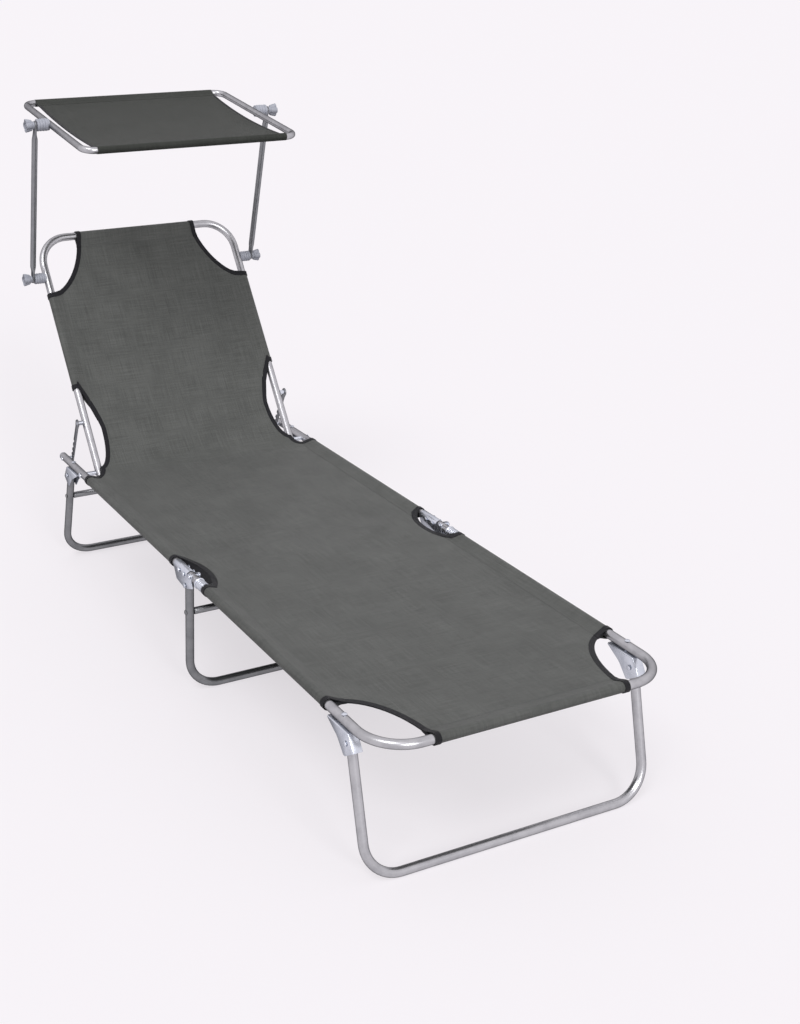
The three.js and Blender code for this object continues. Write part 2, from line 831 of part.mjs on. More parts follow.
// The ring is bent from one tube whose ends meet inside the rear sleeve
function canopyFrame() {
  const corners = [
    flat(-fit, canopyRearY),
    flat(-canopyHalfWidth, canopyRearY),
    flat(-canopyHalfWidth, canopyFrontY),
    flat(canopyHalfWidth, canopyFrontY),
    flat(canopyHalfWidth, canopyRearY),
    flat(fit, canopyRearY),
  ];
  return onCanopy(cut(bentTube(corners, canopyCornerRadius, canopyTubeRadius), pinHole(0, 0)));
}

function canopyFabric() {
  const shares = Array.from({ length: arcSteps + 1 }, (_, step) => step / arcSteps);
  const bow = (share) => 4 * share * (1 - share);
  const along = (share) => canopyFrontY + canopyDepth * share;
  const upper = shares.map((share) => flat(along(share), webThickness / 2 - canopySag * bow(share)));
  const lower = shares.map((share) => flat(along(share), -webThickness / 2 - canopySag * bow(share)));
  const sagging = plateAcross([...upper, ...lower.reverse()], -canopyHalfWidth, canopyHalfWidth);
  const rightEdge = shares.map((share) => flat(canopyFabricHalf - canopySideCurve * bow(share), along(share)));
  const leftEdge = rightEdge.map((point) => flat(-point.x, point.y)).reverse();
  const trimmed = shared(sagging, plateFlat([...rightEdge, ...leftEdge], -reach, reach));
  const tubeYs = [canopyFrontY, canopyRearY];
  return onCanopy(
    cut(
      joined(
        trimmed,
        ...tubeYs.map((y) => barAcross(canopySleeveOuter, -canopyFabricHalf, canopyFabricHalf, y, 0)),
      ),
      ...tubeYs.map((y) => barAcross(canopySleeveInner, -canopyHalfWidth, canopyHalfWidth, y, 0)),
    ),
  );
}

// Ribbed spacer between a frame tube and an arm, hollowed at one end to sit on the tube,
// built about an axis along x at the origin
function clamp(radius, tubeX, tubeRadius) {
  const start = tubeX + tubeRadius - clampSaddleOverlap;
  const end = armInnerX - fit;
  const pitch = (end - tubeX - tubeRadius) / (clampRibs + 1);
  const profile = [
    [start, 0],
    [start, radius],
  ];
  for (let rib = 1; rib <= clampRibs; rib++) {
    const x = tubeX + tubeRadius + pitch * rib;
    const half = clampGrooveWidth / 2;
    profile.push([x - half, radius], [x - half, radius - clampGrooveDepth]);
    profile.push([x + half, radius - clampGrooveDepth], [x + half, radius]);
  }
  profile.push([end, radius], [end, 0]);
  return cut(
    turnedAcross(profile, 0, 0, clampSides),
    barAlong(tubeRadius + fit, -reach, reach, tubeX, 0),
    pinHole(0, 0),
  );
}

// Lobed hand knob with its threaded stud, which ends inside the frame tube, built as the clamp is
function knob(studEndX) {
  const neckStart = armOuterX + fit;
  const neckEnd = neckStart + knobNeckLength;
  const outline = Array.from({ length: knobLobes * arcSteps }, (_, step) => {
    const angle = (step / (knobLobes * arcSteps)) * Math.PI * 2;
    const swell = (1 + Math.cos(angle * knobLobes)) / 2;
    const radius = knobRootRadius + (knobRadius - knobRootRadius) * Math.sqrt(swell);
    return flat(radius * Math.cos(angle), radius * Math.sin(angle));
  });
  return joined(
    plateAcross(outline, neckEnd, neckEnd + knobLength),
    barAcross(knobNeckRadius, neckStart, neckEnd + fit, 0, 0),
    barAcross(pinRadius, studEndX, neckEnd + fit, 0, 0, pinSides),
  );
}

const lounger = new THREE.Group();
lounger.name = "sun_lounger_with_canopy";

function section(name) {
  const group = new THREE.Group();
  group.name = name;
  lounger.add(group);
  return group;
}

function add(group, name, geometry, material) {
  const mesh = new THREE.Mesh(geometry, material);
  mesh.name = name;
  geometry.computeVertexNormals();
  group.add(mesh);
  return mesh;
}

// A piece on the +X side and its mirror image on the other
function addPair(group, name, geometry, material) {
  add(group, `${name}_right`, geometry, material);
  add(group, `${name}_left`, geometry, material).scale.x = -1;
}

const legPin = (leg) => doubleHeadedPin(railX, pinY(leg), leg.pinZ);

const seat = section("seat_frame");
addPair(seat, "seat_rail", seatRail(), materials.frame);
addPair(seat, "rail_end_cap", railEndCap(), materials.greyPlastic);
addPair(seat, "mid_hinge_bracket", midHingeBracket(), materials.zinc);
saddleRivetYs.forEach((y, i) =>
  addPair(seat, `saddle_rivet_${i + 1}`, doubleHeadedPin(railX, y, railZ), materials.zinc),
);
addPair(seat, "backrest_pivot", backrestPivot(), materials.zinc);
addPair(seat, "stay_catch", stayCatch(), materials.zinc);
addPair(seat, "rear_leg_bracket", legBracket(legs.rear, -1), materials.zinc);
addPair(seat, "rear_bracket_rivet", bracketRivet(bracketRivetY.rear), materials.zinc);
addPair(seat, "mid_leg_pin", legPin(legs.mid), materials.zinc);
addPair(seat, "rear_leg_pin", legPin(legs.rear), materials.zinc);
add(seat, "seat_sling", seatSling(), materials.sling);

const foot = section("foot_section");
add(foot, "foot_frame", footFrame(), materials.frame);
addPair(foot, "foot_collar", footCollar(), materials.zinc);
addPair(foot, "foot_fold_pin", doubleHeadedPin(railX, footFoldY, footFoldZ), materials.zinc);
addPair(foot, "front_leg_bracket", legBracket(legs.front, 1), materials.zinc);
addPair(foot, "front_bracket_rivet", bracketRivet(bracketRivetY.front), materials.zinc);
addPair(foot, "front_leg_pin", legPin(legs.front), materials.zinc);
add(foot, "foot_sling", footSling(), materials.sling);

const undercarriage = section("undercarriage");
add(undercarriage, "front_leg", legTube(legs.front), materials.frame);
add(undercarriage, "mid_leg", legTube(legs.mid, midCrossBarZ), materials.frame);
add(undercarriage, "mid_leg_crossbar", legCrossBar(legs.mid, midCrossBarZ), materials.frame);
add(undercarriage, "rear_leg", legTube(legs.rear, rearCrossBarZ), materials.frame);
add(undercarriage, "rear_leg_crossbar", legCrossBar(legs.rear, rearCrossBarZ), materials.frame);

const backrest = section("backrest");
add(backrest, "backrest_frame", backrestFrame(), materials.frame);
add(backrest, "back_sling", backSling(), materials.sling);
addPair(backrest, "stay_pivot", stayPivot(), materials.zinc);
addPair(backrest, "ratchet_stay", ratchetStay(), materials.zinc);
const lowerClamp = clamp(lowerClampRadius, backHalfWidth, mainTubeRadius);
addPair(backrest, "lower_clamp", onBackrest(lowerClamp.translate(0, armPinAlongBack, 0)), materials.greyPlastic);
const lowerKnob = knob(backHalfWidth).translate(0, armPin.y, armPin.z);
addPair(backrest, "lower_knob", lowerKnob, materials.greyPlastic);

const canopy = section("canopy");
addPair(canopy, "canopy_arm", canopyArm(), materials.arm);
add(canopy, "canopy_frame", canopyFrame(), materials.frame);
add(canopy, "canopy_fabric", canopyFabric(), materials.canopyCloth);
const upperClamp = clamp(upperClampRadius, canopyHalfWidth, canopyTubeRadius);
addPair(canopy, "upper_clamp", onCanopy(upperClamp), materials.greyPlastic);
const upperKnob = knob(canopyHalfWidth).translate(0, canopyPin.y, canopyPin.z);
addPair(canopy, "upper_knob", upperKnob, materials.greyPlastic);

lounger.updateMatrixWorld(true);
const bounds = new THREE.Box3().setFromObject(lounger);
lounger.position.y = -(bounds.min.y + bounds.max.y) / 2;

export default lounger;
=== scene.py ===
import json, math
import bpy, bmesh
from mathutils import Matrix, Vector
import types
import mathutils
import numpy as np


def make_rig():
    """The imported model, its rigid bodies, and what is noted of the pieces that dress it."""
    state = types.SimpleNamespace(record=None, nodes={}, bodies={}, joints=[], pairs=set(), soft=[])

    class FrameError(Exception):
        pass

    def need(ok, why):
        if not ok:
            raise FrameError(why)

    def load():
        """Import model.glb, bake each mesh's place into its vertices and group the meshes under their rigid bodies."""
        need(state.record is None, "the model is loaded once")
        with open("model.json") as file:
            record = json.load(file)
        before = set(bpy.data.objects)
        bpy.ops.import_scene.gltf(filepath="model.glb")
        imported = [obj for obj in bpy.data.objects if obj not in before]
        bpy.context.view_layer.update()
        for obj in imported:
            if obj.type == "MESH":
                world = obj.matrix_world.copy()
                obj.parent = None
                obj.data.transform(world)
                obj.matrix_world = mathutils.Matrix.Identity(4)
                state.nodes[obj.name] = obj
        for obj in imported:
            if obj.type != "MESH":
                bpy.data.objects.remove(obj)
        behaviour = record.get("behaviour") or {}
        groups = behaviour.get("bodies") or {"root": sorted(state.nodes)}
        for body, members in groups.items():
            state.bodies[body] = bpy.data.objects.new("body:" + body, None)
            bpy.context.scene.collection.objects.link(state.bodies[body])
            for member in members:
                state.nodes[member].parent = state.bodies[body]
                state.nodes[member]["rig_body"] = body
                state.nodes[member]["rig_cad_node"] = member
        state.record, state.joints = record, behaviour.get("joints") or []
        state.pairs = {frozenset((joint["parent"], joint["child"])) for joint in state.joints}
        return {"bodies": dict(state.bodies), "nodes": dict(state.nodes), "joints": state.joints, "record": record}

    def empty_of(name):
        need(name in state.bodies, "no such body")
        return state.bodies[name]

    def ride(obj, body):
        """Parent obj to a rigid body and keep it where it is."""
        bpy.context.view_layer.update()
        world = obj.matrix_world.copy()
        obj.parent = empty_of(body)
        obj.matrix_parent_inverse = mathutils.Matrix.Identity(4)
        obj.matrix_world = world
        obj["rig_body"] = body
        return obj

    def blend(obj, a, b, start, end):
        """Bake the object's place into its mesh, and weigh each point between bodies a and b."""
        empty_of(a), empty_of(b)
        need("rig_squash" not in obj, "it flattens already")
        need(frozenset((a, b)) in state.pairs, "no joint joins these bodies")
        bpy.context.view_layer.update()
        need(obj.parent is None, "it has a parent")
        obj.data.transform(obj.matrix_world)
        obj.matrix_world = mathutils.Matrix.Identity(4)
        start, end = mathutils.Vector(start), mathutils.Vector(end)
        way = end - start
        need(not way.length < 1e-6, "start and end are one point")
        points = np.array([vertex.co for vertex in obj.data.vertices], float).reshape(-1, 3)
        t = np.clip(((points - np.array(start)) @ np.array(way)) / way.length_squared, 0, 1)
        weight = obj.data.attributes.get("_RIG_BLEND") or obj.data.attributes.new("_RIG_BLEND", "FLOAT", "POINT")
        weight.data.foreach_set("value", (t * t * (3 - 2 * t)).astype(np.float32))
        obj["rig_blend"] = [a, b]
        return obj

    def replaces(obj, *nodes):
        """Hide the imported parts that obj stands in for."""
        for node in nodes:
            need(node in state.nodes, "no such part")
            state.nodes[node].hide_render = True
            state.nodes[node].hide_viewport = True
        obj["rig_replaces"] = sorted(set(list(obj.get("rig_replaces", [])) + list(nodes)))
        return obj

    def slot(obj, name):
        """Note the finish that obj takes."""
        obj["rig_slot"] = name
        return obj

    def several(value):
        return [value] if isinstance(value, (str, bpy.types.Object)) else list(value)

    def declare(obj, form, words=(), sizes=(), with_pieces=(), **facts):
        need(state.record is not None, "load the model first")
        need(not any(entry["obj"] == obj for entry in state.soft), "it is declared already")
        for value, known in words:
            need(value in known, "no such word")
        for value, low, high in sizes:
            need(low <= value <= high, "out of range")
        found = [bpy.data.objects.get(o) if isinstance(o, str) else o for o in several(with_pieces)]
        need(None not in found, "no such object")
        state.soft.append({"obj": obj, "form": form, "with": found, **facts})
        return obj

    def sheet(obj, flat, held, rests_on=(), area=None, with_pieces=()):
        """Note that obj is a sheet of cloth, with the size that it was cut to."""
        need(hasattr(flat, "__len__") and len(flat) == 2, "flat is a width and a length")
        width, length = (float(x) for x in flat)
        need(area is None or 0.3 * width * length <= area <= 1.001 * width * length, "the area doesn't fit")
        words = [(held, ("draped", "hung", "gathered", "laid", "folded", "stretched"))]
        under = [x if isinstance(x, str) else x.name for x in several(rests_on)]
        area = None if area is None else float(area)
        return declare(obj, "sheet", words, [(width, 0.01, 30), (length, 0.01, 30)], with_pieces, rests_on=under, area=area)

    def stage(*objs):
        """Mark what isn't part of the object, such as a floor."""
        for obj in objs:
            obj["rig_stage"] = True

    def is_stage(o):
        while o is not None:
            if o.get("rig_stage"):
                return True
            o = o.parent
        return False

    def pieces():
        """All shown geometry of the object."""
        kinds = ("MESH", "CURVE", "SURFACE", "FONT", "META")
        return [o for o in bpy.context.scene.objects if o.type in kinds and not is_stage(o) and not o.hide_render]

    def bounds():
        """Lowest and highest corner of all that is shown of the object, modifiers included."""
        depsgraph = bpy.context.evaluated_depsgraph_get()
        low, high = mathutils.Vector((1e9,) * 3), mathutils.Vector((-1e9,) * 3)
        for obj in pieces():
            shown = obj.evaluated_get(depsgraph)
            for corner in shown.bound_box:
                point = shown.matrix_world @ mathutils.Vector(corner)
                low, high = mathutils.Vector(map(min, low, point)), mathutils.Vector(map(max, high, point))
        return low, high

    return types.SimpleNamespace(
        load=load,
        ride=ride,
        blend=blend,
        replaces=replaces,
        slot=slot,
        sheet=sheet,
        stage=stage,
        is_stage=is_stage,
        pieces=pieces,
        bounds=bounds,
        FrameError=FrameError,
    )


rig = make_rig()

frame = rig.load()
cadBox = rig.bounds()
print("frame loaded")

# Metres. y is measured from the axis of the foot frame's front tube, and toRow centres the lounger.
lounger = {
    "centreY": 0.8355731, "railX": 0.279, "railZ": 0.2615, "tubeRadius": 0.0085, "gap": 0.0003, "plate": 0.0016,
    "footFold": (0.690, 0.267), "backFoldY": 1.299, "backAngle": 52.8, "backHalf": 0.242, "backLength": 0.569,
    "armPinAlong": 0.4746, "armLength": 0.3595, "armLean": 14.3, "armX": 0.276, "armThickness": 0.005,
    "canopyTilt": 7.3, "canopyHalf": 0.242, "canopyFront": -0.2132, "canopyRear": 0.177, "canopyRadius": 0.007,
}
railX, railZ, tubeRadius, gap = lounger["railX"], lounger["railZ"], lounger["tubeRadius"], lounger["gap"]
backHalf, backLength, backFoldY = lounger["backHalf"], lounger["backLength"], lounger["backFoldY"]
canopyHalf, canopyFront, canopyRear = lounger["canopyHalf"], lounger["canopyFront"], lounger["canopyRear"]
plateInner = tubeRadius + gap
plateMiddle, plateOuter = plateInner + lounger["plate"] / 2, plateInner + lounger["plate"]
backAngle, armLean = math.radians(lounger["backAngle"]), math.radians(lounger["armLean"])
backFold = Vector((0, backFoldY, railZ))
armPin = backFold + Vector((0, math.cos(backAngle), math.sin(backAngle))) * lounger["armPinAlong"]
canopyPin = armPin + Vector((0, -math.sin(armLean), math.cos(armLean))) * lounger["armLength"]


def moved(x, y, z):
    return Matrix.Translation((x, y, z))


def inRow(x, y, z):
    return toRow @ moved(x, y, z)


toRow = moved(0, -lounger["centreY"], 0)
onSeat = inRow(0, 0, railZ)
onBack = inRow(*backFold) @ Matrix.Rotation(backAngle, 4, 'X')
onCanopy = inRow(*canopyPin) @ Matrix.Rotation(math.radians(lounger["canopyTilt"]), 4, 'X')


def quarterTurn(way, axis='Z'):
    return Matrix.Rotation(way * math.pi / 2, 4, axis)


def cosOf(degrees):
    return math.cos(math.radians(degrees))


def sinOf(degrees):
    return math.sin(math.radians(degrees))


def addObject(name, data):
    made = bpy.data.objects.new(name, data)
    bpy.context.scene.collection.objects.link(made)
    return made


view = {"at": (-1.2565, -2.40097, 1.4144), "tilt": 64.4, "turn": -26.3, "lens": 50.36, "shift": (0.1375, 0.0758),
        "sensor": 36, "farthest": 200}


def placeCamera():
    data = bpy.data.cameras.new("camera")
    data.lens, data.sensor_width, data.clip_end = view["lens"], view["sensor"], view["farthest"]
    data.shift_x, data.shift_y = view["shift"]
    camera = addObject("camera", data)
    aim = Matrix.Rotation(math.radians(view["turn"]), 4, 'Z') @ Matrix.Rotation(math.radians(view["tilt"]), 4, 'X')
    camera.matrix_world = moved(*view["at"]) @ aim
    bpy.context.scene.camera = camera


placeCamera()


# sets each of a node's sockets to a number or colour, or links it
def feed(tree, node, values):
    for label, value in values.items():
        if isinstance(value, (int, float, tuple)):
            node.inputs[label].default_value = value
        else:
            tree.links.new(value, node.inputs[label])
    return node.outputs


def addNode(tree, kind, values, **settings):
    node = tree.nodes.new('ShaderNode' + kind)
    for label, setting in settings.items():
        setattr(node, label, setting)
    return feed(tree, node, values)


def valueNode(tree, operation, *terms, clamp=False):
    return addNode(tree, 'Math', dict(enumerate(terms)), operation=operation, use_clamp=clamp)[0]


def noiseNode(tree, vector, scale, detail, roughness=0.5):
    values = {"Vector": vector, "Scale": scale, "Detail": detail, "Roughness": roughness}
    return addNode(tree, 'TexNoise', values)['Fac']


def rangeNode(tree, value, fromLow, fromHigh, toLow=0.0, toHigh=1.0):
    values = {"Value": value, "From Min": fromLow, "From Max": fromHigh, "To Min": toLow, "To Max": toHigh}
    return addNode(tree, 'MapRange', values)[0]


def bumpNode(tree, height, strength, distance):
    return addNode(tree, 'Bump', {"Height": height, "Strength": strength, "Distance": distance})[0]


def colourNode(tree, amount, low, high):
    return addNode(tree, 'Mix', {0: amount, 6: (*low, 1), 7: (*high, 1)}, data_type='RGBA')[2]


def newGroup(name, inputs, outputs):
    group = bpy.data.node_groups.new(name, 'ShaderNodeTree')
    group.interface.new_socket("Vector", in_out='INPUT', socket_type='NodeSocketVector')
    for label, value in inputs.items():
        group.interface.new_socket(label, in_out='INPUT', socket_type='NodeSocketFloat').default_value = value
    for label in outputs:
        group.interface.new_socket(label, in_out='OUTPUT', socket_type='NodeSocketFloat')
    return group, group.nodes.new('NodeGroupInput').outputs, group.nodes.new('NodeGroupOutput')


# plain weave of coated yarn: threads that pass over and under, slubs along them and faint clouds of tone;
# the clouds are a scale, detail and roughness, and the slubs a stretch along the warp and one along the weft
def makeWeave(clouds=(9.0, 4.0, 0.65), slubs=((420.0, 14.0, 1.0), (14.0, 420.0, 1.0)), slubDetail=2.0):
    group, given, made = newGroup("plainWeave", {"Threads": 700.0, "Slubs": 0.5, "Clouds": 0.5}, ("Height", "Tone"))

    def calc(*terms):
        return valueNode(group, *terms)

    split = addNode(group, 'SeparateXYZ', {0: given['Vector']})
    across, along = (calc('MULTIPLY', split[axis], given['Threads']) for axis in ("X", "Y"))
    warp, weft = (calc('ABSOLUTE', calc('SINE', calc('MULTIPLY', run, math.pi))) for run in (across, along))
    over = calc('ABSOLUTE', calc('MODULO', calc('ADD', calc('FLOOR', across), calc('FLOOR', along)), 2.0))
    height = calc('ADD', calc('MULTIPLY', warp, over), calc('MULTIPLY', weft, calc('SUBTRACT', 1.0, over)))
    tone = calc('MULTIPLY', calc('SUBTRACT', noiseNode(group, given['Vector'], *clouds), 0.5), given['Clouds'])
    for stretch in slubs:
        stretched = addNode(group, 'Mapping', {"Vector": given['Vector'], "Scale": stretch})[0]
        slub = calc('SUBTRACT', noiseNode(group, stretched, 1.0, slubDetail), 0.5)
        tone = calc('ADD', tone, calc('MULTIPLY', slub, given['Slubs']))
    feed(group, made, {"Height": height, "Tone": calc('ADD', tone, 0.5)})
    return group


# handling marks and fine grain
def makeHandling(marks=(5.0, 0.6), contrast=(0.40, 0.68), grain=(900.0, 2.0)):
    group, given, made = newGroup("handling", {"Scale": 60.0}, ("Marks", "Grain"))
    clouds = noiseNode(group, given['Vector'], given['Scale'], *marks)
    fine = noiseNode(group, given['Vector'], *grain)
    feed(group, made, {"Marks": rangeNode(group, clouds, *contrast), "Grain": fine})
    return group


weave, handling = makeWeave(), makeHandling()


def newMaterial(name):
    material = bpy.data.materials.new(name)
    material.use_nodes = True
    return material, material.node_tree, material.node_tree.nodes['Principled BSDF']


def startMaterial(name, group, coordinate, **values):
    material, tree, shader = newMaterial(name)
    values["Vector"] = addNode(tree, 'TexCoord', {})[coordinate]
    return material, tree, shader, addNode(tree, 'Group', values, node_tree=group)


# metal whose reflection fades at a grazing angle by the shader's own edge tint
def metalFinish(name, worn, clean, metallic, smooth, rough, grain, edgeTint):
    material, tree, shader, effect = startMaterial(name, handling, 'Object', Scale=45.0)
    feed(tree, shader, {
        "Base Color": colourNode(tree, effect['Marks'], clean, worn), "Metallic": metallic,
        "Specular Tint": (edgeTint, edgeTint, edgeTint, 1), "Normal": bumpNode(tree, effect['Grain'], grain, 0.0001),
        "Roughness": rangeNode(tree, effect['Marks'], 0.0, 1.0, smooth, rough)})
    return material


def plasticFinish(name, worn, clean, rough, spread=0.08):
    material, tree, shader, effect = startMaterial(name, handling, 'Object', Scale=90.0)
    feed(tree, shader, {
        "Base Color": colourNode(tree, effect['Marks'], clean, worn),
        "Normal": bumpNode(tree, effect['Grain'], 0.25, 0.0002),
        "Roughness": rangeNode(tree, effect['Grain'], 0.3, 0.7, rough - spread, rough + spread)})
    return material


# the tops of the threads are smoother than the dips between them; the colour is painted lighter on the tops and darker
# in the dips, painted shade of the weave
def clothFinish(name, dark, light, threads, slubs, clouds, sheen, meanHeight=0.63, contrast=0.7):
    material, tree, shader, effect = startMaterial(name, weave, 'UV', Threads=threads, Slubs=slubs, Clouds=clouds)
    # painted shade in the dips of the weave and painted light on the thread tops, from the threads' height
    paintedWeaveShade = valueNode(tree, 'MULTIPLY', valueNode(tree, 'SUBTRACT', effect['Height'], meanHeight), contrast)
    feed(tree, shader, {
        "Base Color": colourNode(tree, valueNode(tree, 'ADD', effect['Tone'], paintedWeaveShade, clamp=True), dark, light),
        "Roughness": rangeNode(tree, effect['Height'], 0.0, 1.0, 0.9, 0.55), "Sheen Weight": sheen,
        "Specular IOR Level": 0.2, "Normal": bumpNode(tree, effect['Height'], 0.5, 0.0003)})
    return material


finishes = {
    # worn and clean colour, metallic, roughness where clean and where worn, depth of the grain, tint at the edge
    "frame": metalFinish("silverTube", (0.42, 0.42, 0.44), (0.52, 0.52, 0.54), 0.9, 0.28, 0.35, 0.04, 0.0),
    # the leg finish is the frame's silver painted darker: painted shade on the middle and rear legs and their
    # crossbars, which take the frame's slot
    "leg": metalFinish("greyTube", (0.215, 0.22, 0.23), (0.265, 0.27, 0.28), 0.9, 0.30, 0.38, 0.04, 0.0),
    "arm": metalFinish("armTube", (0.235, 0.24, 0.255), (0.285, 0.29, 0.305), 0.8, 0.30, 0.38, 0.04, 0.0),
    "zinc": metalFinish("brightZinc", (0.60, 0.63, 0.70), (0.72, 0.75, 0.82), 0.9, 0.24, 0.32, 0.06, 0.2),
    # worn and clean colour, roughness
    "plastic": plasticFinish("greyPlastic", (0.33, 0.34, 0.39), (0.40, 0.41, 0.47), 0.5),
    # dark and light colour, threads in a metre, strength of slubs and clouds, sheen
    "sling": clothFinish("greyWeave", (0.058, 0.060, 0.057), (0.136, 0.138, 0.133), 700.0, 0.8, 0.8, 0.08),
    "canopy": clothFinish("canopyWeave", (0.020, 0.022, 0.019), (0.050, 0.053, 0.048), 700.0, 0.8, 0.7, 0.02),
    "tape": clothFinish("blackTape", (0.005, 0.005, 0.007), (0.018, 0.018, 0.021), 1400.0, 0.4, 0.3, 0.05),
    "thread": plasticFinish("stitchThread", (0.075, 0.077, 0.074), (0.11, 0.112, 0.108), 0.7),
}
slots = {"frame": "frame", "leg": "frame", "arm": "arm", "zinc": "zinc", "plastic": "grey_plastic", "sling": "sling",
         "canopy": "canopy_cloth"}
print("finishes made")


def bevel(bm, geom, width, affect, segments):
    bmesh.ops.bevel(bm, geom=geom, offset=width, offset_type='OFFSET', affect=affect, segments=segments, profile=0.5,
                    material=-1, clamp_overlap=True)


def softEdges(bm, width, segments=2, angle=35):
    bevel(bm, [e for e in bm.edges if len(e.link_faces) == 2 and e.calc_face_angle(0) > math.radians(angle)], width,
          'EDGES', segments)


def addMesh(bm, name, material):
    mesh = bpy.data.meshes.new(name)
    bm.to_mesh(mesh)
    bm.free()
    mesh.materials.append(material)
    return addObject(name, mesh)


def finishPiece(bm, name, finish, body, replaced=(), place=toRow, mirrored=False, smoothTo=40):
    bmesh.ops.transform(bm, matrix=place, verts=bm.verts)
    if mirrored:
        bmesh.ops.scale(bm, vec=(-1, 1, 1), verts=bm.verts)
        bmesh.ops.reverse_faces(bm, faces=bm.faces)
    for face in bm.faces:
        face.smooth = True
    for edge in bm.edges:
        edge.smooth = len(edge.link_faces) == 2 and edge.calc_face_angle(0) < math.radians(smoothTo)
    piece = addMesh(bm, name, finishes[finish])
    if body:
        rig.ride(piece, body)
    if replaced:
        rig.replaces(piece, *replaced)
    if finish in slots:
        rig.slot(piece, slots[finish])
    return piece


# makes a piece on the right and its mirror image on the left; the names take the side's name, and a piece that
# bends with two bodies has "" for its body
def pairOf(make, name, finish, body, replaced=(), place=toRow, **more):
    return [finishPiece(make(), f"{name}_{side}", finish, body.format(side=side),
                        [f"{node}_{side}" for node in replaced], place, side == "left", **more)
            for side in ("right", "left")]


def facingOut(bm):
    bmesh.ops.recalc_face_normals(bm, faces=bm.faces)
    return bm


def tidy(bm, distance=1e-6):
    bmesh.ops.remove_doubles(bm, verts=bm.verts, dist=distance)
    return facingOut(bm)


def vertsOf(geom):
    return [g for g in geom if isinstance(g, bmesh.types.BMVert)]


def edgesOf(geom):
    return [g for g in geom if isinstance(g, bmesh.types.BMEdge)]


# extrudes a row of edges; the new vertices come in the order of the old ones
def extrudeRow(bm, verts, edges):
    made = bmesh.ops.extrude_edge_only(bm, edges=edges)['geom']
    fresh = set(vertsOf(made))
    row = [next(e.other_vert(v) for e in v.link_edges if e.other_vert(v) in fresh) for v in verts]
    return row, [e for e in edgesOf(made) if fresh.issuperset(e.verts)]


# a row of vertices and the edges between them, closed to a loop or left open
def newRow(bm, points, closed=False):
    verts = [bm.verts.new(point) for point in points]
    return verts, [bm.edges.new(pair) for pair in zip(verts, verts[1:] + verts[:1] if closed else verts[1:])]


# gives each item its own row of vertices, extruded from the one before
def rowsAlong(bm, row, edges, items):
    for i, item in enumerate(items):
        if i:
            row, edges = extrudeRow(bm, row, edges)
        yield item, row


def fillEnds(bm):
    return bmesh.ops.holes_fill(bm, edges=[e for e in bm.edges if e.is_boundary], sides=0)['faces']


def newRing(sides, radius=1):
    bm = bmesh.new()
    ring = bmesh.ops.create_circle(bm, segments=sides, radius=radius)['verts']
    return bm, ring, list(bm.edges)


tubeEnd = {"wall": 0.0012, "edge": 0.0001, "hollow": 0.014}


# a tube bent in the XY plane, its straights extruded and its bends spun
def bentTube(corners, bendRadius, radius, ends=True, sides=28, steps=14):
    bm, ring, edges = newRing(sides, radius)
    points = [Vector((*corner, 0)) for corner in corners]
    heading, here = (points[1] - points[0]).normalized(), points[0]
    facing = Vector((0, 0, 1)).rotation_difference(heading).to_matrix().to_4x4()
    bmesh.ops.transform(bm, matrix=moved(*here) @ facing, verts=ring)
    for i in range(1, len(points)):
        before = (points[i] - points[i - 1]).normalized()
        after = (points[i + 1] - points[i]).normalized() if i < len(points) - 1 else before
        angle = math.atan2(before.cross(after).z, before.dot(after))
        setback = before * bendRadius * math.tan(abs(angle) / 2)
        ring, edges = extrudeRow(bm, ring, edges)
        bmesh.ops.translate(bm, vec=points[i] - setback - here, verts=ring)
        if i == len(points) - 1:
            break
        inward = Vector((-before.y, before.x, 0)) * math.copysign(bendRadius, angle)
        spun = bmesh.ops.spin(bm, geom=edges, cent=points[i] - setback + inward, axis=(0, 0, 1), angle=angle,
                              steps=steps)['geom_last']
        ring, edges = vertsOf(spun), edgesOf(spun)
        here = points[i] + after * setback.length
    tidy(bm)
    if ends:  # a rim of the tube's own wall, and a hollow behind it
        rims = fillEnds(bm)
        facingOut(bm)
        bmesh.ops.inset_individual(bm, faces=rims, thickness=tubeEnd["wall"])
        bmesh.ops.inset_individual(bm, faces=rims, thickness=tubeEnd["edge"], depth=-tubeEnd["hollow"])
    return bm


# a piece turned about an axis along x, from (x, radius) stations; a closed profile makes a ring
def turned(stations, steps=28, closed=False):
    bm = bmesh.new()
    verts, edges = newRow(bm, [(x, 0, radius) for x, radius in stations], closed)
    bmesh.ops.spin(bm, geom=verts + edges, cent=(0, 0, 0), axis=(1, 0, 0), angle=math.tau, steps=steps, use_merge=True)
    return tidy(bm)


# even steps from start, which isn't one of them, to end
def between(start, end, steps):
    return [start + (end - start) * i / steps for i in range(1, steps + 1)]


def arc(centreA, centreB, radius, start, end, steps):
    return [(centreA + radius * cosOf(a), centreB + radius * sinOf(a)) for a in (start, *between(start, end, steps))]


# a plate across x from its (y, z) outline
def plate(outline, fromX, toX, softened):
    bm = bmesh.new()
    face = bm.faces.new([bm.verts.new((fromX, y, z)) for y, z in outline])
    made = bmesh.ops.extrude_face_region(bm, geom=[face])['geom']
    bmesh.ops.translate(bm, vec=(toX - fromX, 0, 0), verts=vertsOf(made))
    tidy(bm)
    softEdges(bm, softened)
    return bm


